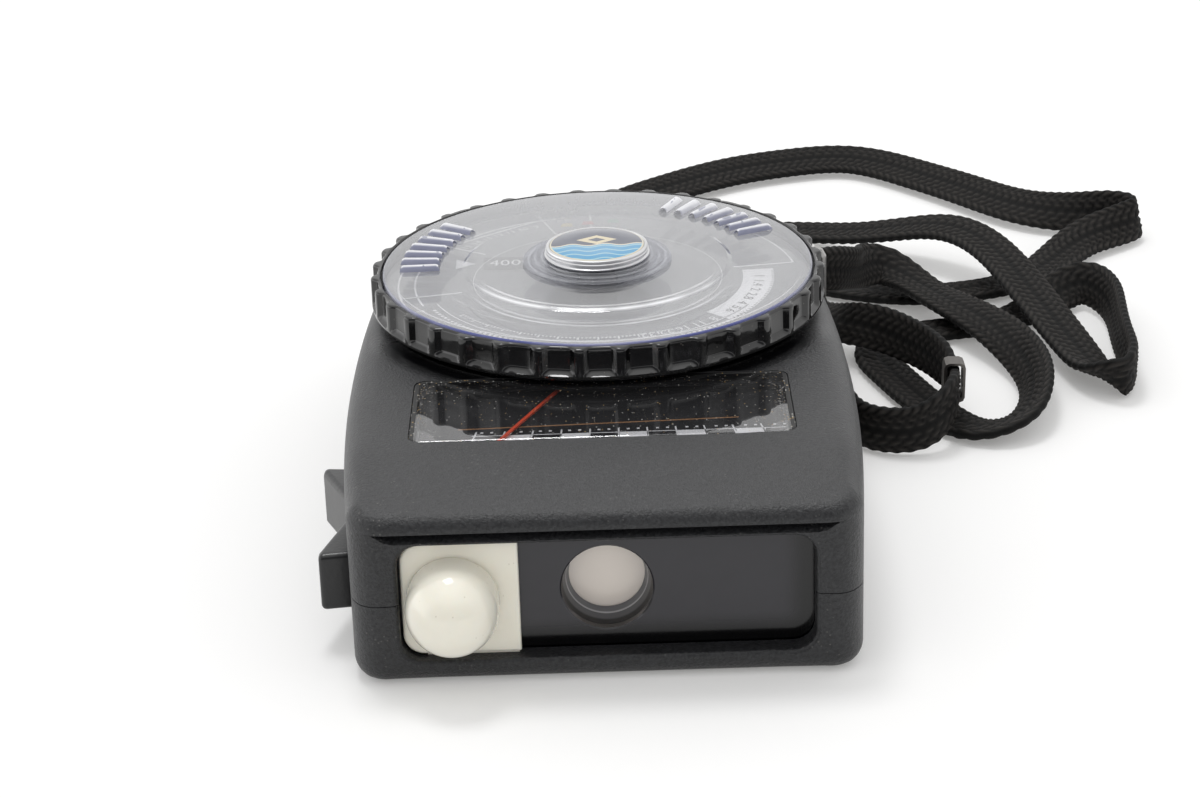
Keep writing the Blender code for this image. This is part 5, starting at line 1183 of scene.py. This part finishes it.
def pane_haze(finish, cloud, scratch):
    """Dust: more of it along the pane's edges, and a few bright fibres and specks."""
    x, y, z = finish.axes()
    edge = abs(x).ramp(0.0205, 0.0262).either(y.ramp(-0.0245, -0.0205))
    dust = finish.specks(0.00010, 0.020) + finish.specks(0.00013, 0.16) * edge ** 2
    border = abs(x).above(0.02565).either(y.above(-0.0212))
    colour = finish.mix(border, (0.45, 0.45, 0.47), (0.002, 0.002, 0.002))
    gold = finish.mix(finish.noise(0.0013, 1).ramp(0.45, 0.6), (0.70, 0.69, 0.66), (0.55, 0.36, 0.13))
    finish.set(Base_Color=finish.mix(dust, colour, gold))
    return (0.008 + 0.02 * cloud * scratch).either(border).either(dust * 0.75)


pane_finish = clear_plastic("clear_pane", pane_haze, tint=(0.95, 0.95, 0.96), gloss=1.7, roughness=0.012, lean=-0.080)


pane_rows = ((0, -0.001), (0, -0.00025), (-0.0001, -0.00008), (-0.00025, 0))
piece("meter_pane", loft([pane_ring(grow, BODY_HEIGHT + z) for grow, z in pane_rows]), pane_finish, "case",
      ["meter_window"], 8)

scale_face = Finish("scale_face", roughness=0.55, Specular_IOR_Level=0.12)
grain = scale_face.noise(0.0012, 3)
scale_face.set(Base_Color=scale_face.mix(grain, (0.0035, 0.0035, 0.0040), (0.0065, 0.0065, 0.0072)))
scale_face.bump(grain, 0.00001)
dress(scale_face, "scale_plate")


SCALE_PRINT_Z, SCALE_LEFT, SCALE_PITCH, SCALE_MARKS = SCALE_TOP + 0.00002, -0.0180, 0.00405, 11
scale_ink = Ink(SCALE_PRINT_Z)
for k in range(SCALE_MARKS):
    x = SCALE_LEFT + SCALE_PITCH * k
    scale_ink.line((x, -0.0362), (x - 0.0006 * (k - 5) / 5, -0.0328), 0.00022)
    # A bar from one mark to the next, by turns thick and thin
    bar_y, bar_width = (-0.0352, 0.0021) if k % 2 else (-0.0342, 0.00018)
    scale_ink.line((x, bar_y), (x + SCALE_PITCH, bar_y), bar_width)
    for share in (0.33, 0.67):
        dot = x + SCALE_PITCH * share
        scale_ink.line((dot - 0.0002, -0.0331), (dot + 0.0002, -0.0331), 0.0004)
    scale_ink.word(str(2 * k + 1), (x, -0.0380), 0.0016, 0)
scale_ink.done("scale_print", ink_white, "case")
brown_ink = Ink(SCALE_PRINT_Z)
brown_ink.line((-0.0200, -0.0318), (0.0190, -0.0303), 0.0003)
brown_ink.done("scale_line", plain_plastic("ink_brown", (0.42, 0.20, 0.07), 0.6), "case")

dress(plain_plastic("needle_red", (0.95, 0.085, 0.015), 0.35, mottle=0.08), "needle")

# ---------------------------------------------------------------------------------------------
# Rocker, battery cover, screws, lug and clip
# ---------------------------------------------------------------------------------------------

ROCKER_HALF, ROCKER_LOW, ROCKER_HIGH, ROCKER_PROUD, ROCKER_DEEP = 0.01445, 0.0054, 0.0138, 0.0042, 0.0050
ROCKER_NOTCH, ROCKER_MIDDLE, ROCKER_CROWN = 0.0038, 0.0032, 0.0016
ROCKER_NECK, ROCKER_FOOT = 0.0025, 0.00578


def softened(bm, width, segments):
    """Rounds a bmesh's sharp edges."""
    bm.normal_update()
    sharp = [e for e in bm.edges if len(e.link_faces) == 2 and e.calc_face_angle(0) > math.radians(25)]
    bmesh.ops.bevel(bm, geom=sharp, offset=width, segments=segments, profile=0.5, affect="EDGES", clamp_overlap=True)
    return bm


def rocker_form():
    """Two wedges that stand out of the side, with a hollow between them and a foot on the pin."""
    side = -half_width(ROCKER_Y)
    neck, back, middle = side + ROCKER_NECK, side + ROCKER_DEEP, side - ROCKER_PROUD + ROCKER_NOTCH
    (crown_low, low), (crown_high, high) = ((-half_width(y) - ROCKER_PROUD, y)
                                            for y in (ROCKER_Y - ROCKER_HALF, ROCKER_Y + ROCKER_HALF))
    points = [(crown_low, low), (neck, low + 0.0008), (neck, ROCKER_Y - ROCKER_FOOT), (back, ROCKER_Y - ROCKER_FOOT),
              (back, ROCKER_Y + ROCKER_FOOT), (neck, ROCKER_Y + ROCKER_FOOT), (neck, high - 0.0008),
              (crown_high, high), (crown_high, high - ROCKER_CROWN), (middle, ROCKER_Y + ROCKER_MIDDLE),
              (middle, ROCKER_Y - ROCKER_MIDDLE), (crown_low, low + ROCKER_CROWN)]
    return softened(prism(points, ROCKER_LOW, ROCKER_HIGH), 0.0008, 6)


rocker_finish = plain_plastic("rocker_black", (0.0125, 0.0125, 0.0135), 0.30, lump=0.0006, depth=0.00003)
piece("rocker_key", rocker_form(), rocker_finish, "rocker", ["rocker"])

dress(case_finish, "battery_cover")
dress(black_finish, "dial_base")
dress(steel_finish, "case_screw_1", "case_screw_2", "case_screw_3", "case_screw_4", "strap_lug", "rocker_pin",
      "dial_post")
dress(brass_finish, "zero_screw", "switch_contact")
dress(metal("cell_can", (0.60, 0.59, 0.58), 0.34), "photocell")
dress(metal("movement_can", (0.42, 0.42, 0.43), 0.38), "meter_movement")
dress(metal("potentiometer_can", (0.62, 0.60, 0.52), 0.36), "potentiometer")
dress(metal("clip_dull_steel", (0.17, 0.16, 0.15), 0.42), "strap_clip")
dress(plain_plastic("battery_wrap", (0.10, 0.11, 0.12), 0.32, mottle=0.3), "battery")
dress(plain_plastic("snap_black", (0.02, 0.02, 0.02), 0.45), "battery_snap")

board_finish = Finish("board_green", Coat_Weight=0.5)
x, y, z = board_finish.axes()
track = ((x * 2100).sine() * (y * 1700).sine()).above(0.35)
cloud = board_finish.noise(0.006, 3)
board_finish.set(Base_Color=board_finish.mix(track, (0.012, 0.10, 0.040), (0.030, 0.17, 0.065)),
                 Roughness=0.25 + 0.2 * cloud)
board_finish.bump(track, 0.00002)
dress(board_finish, "circuit_board")
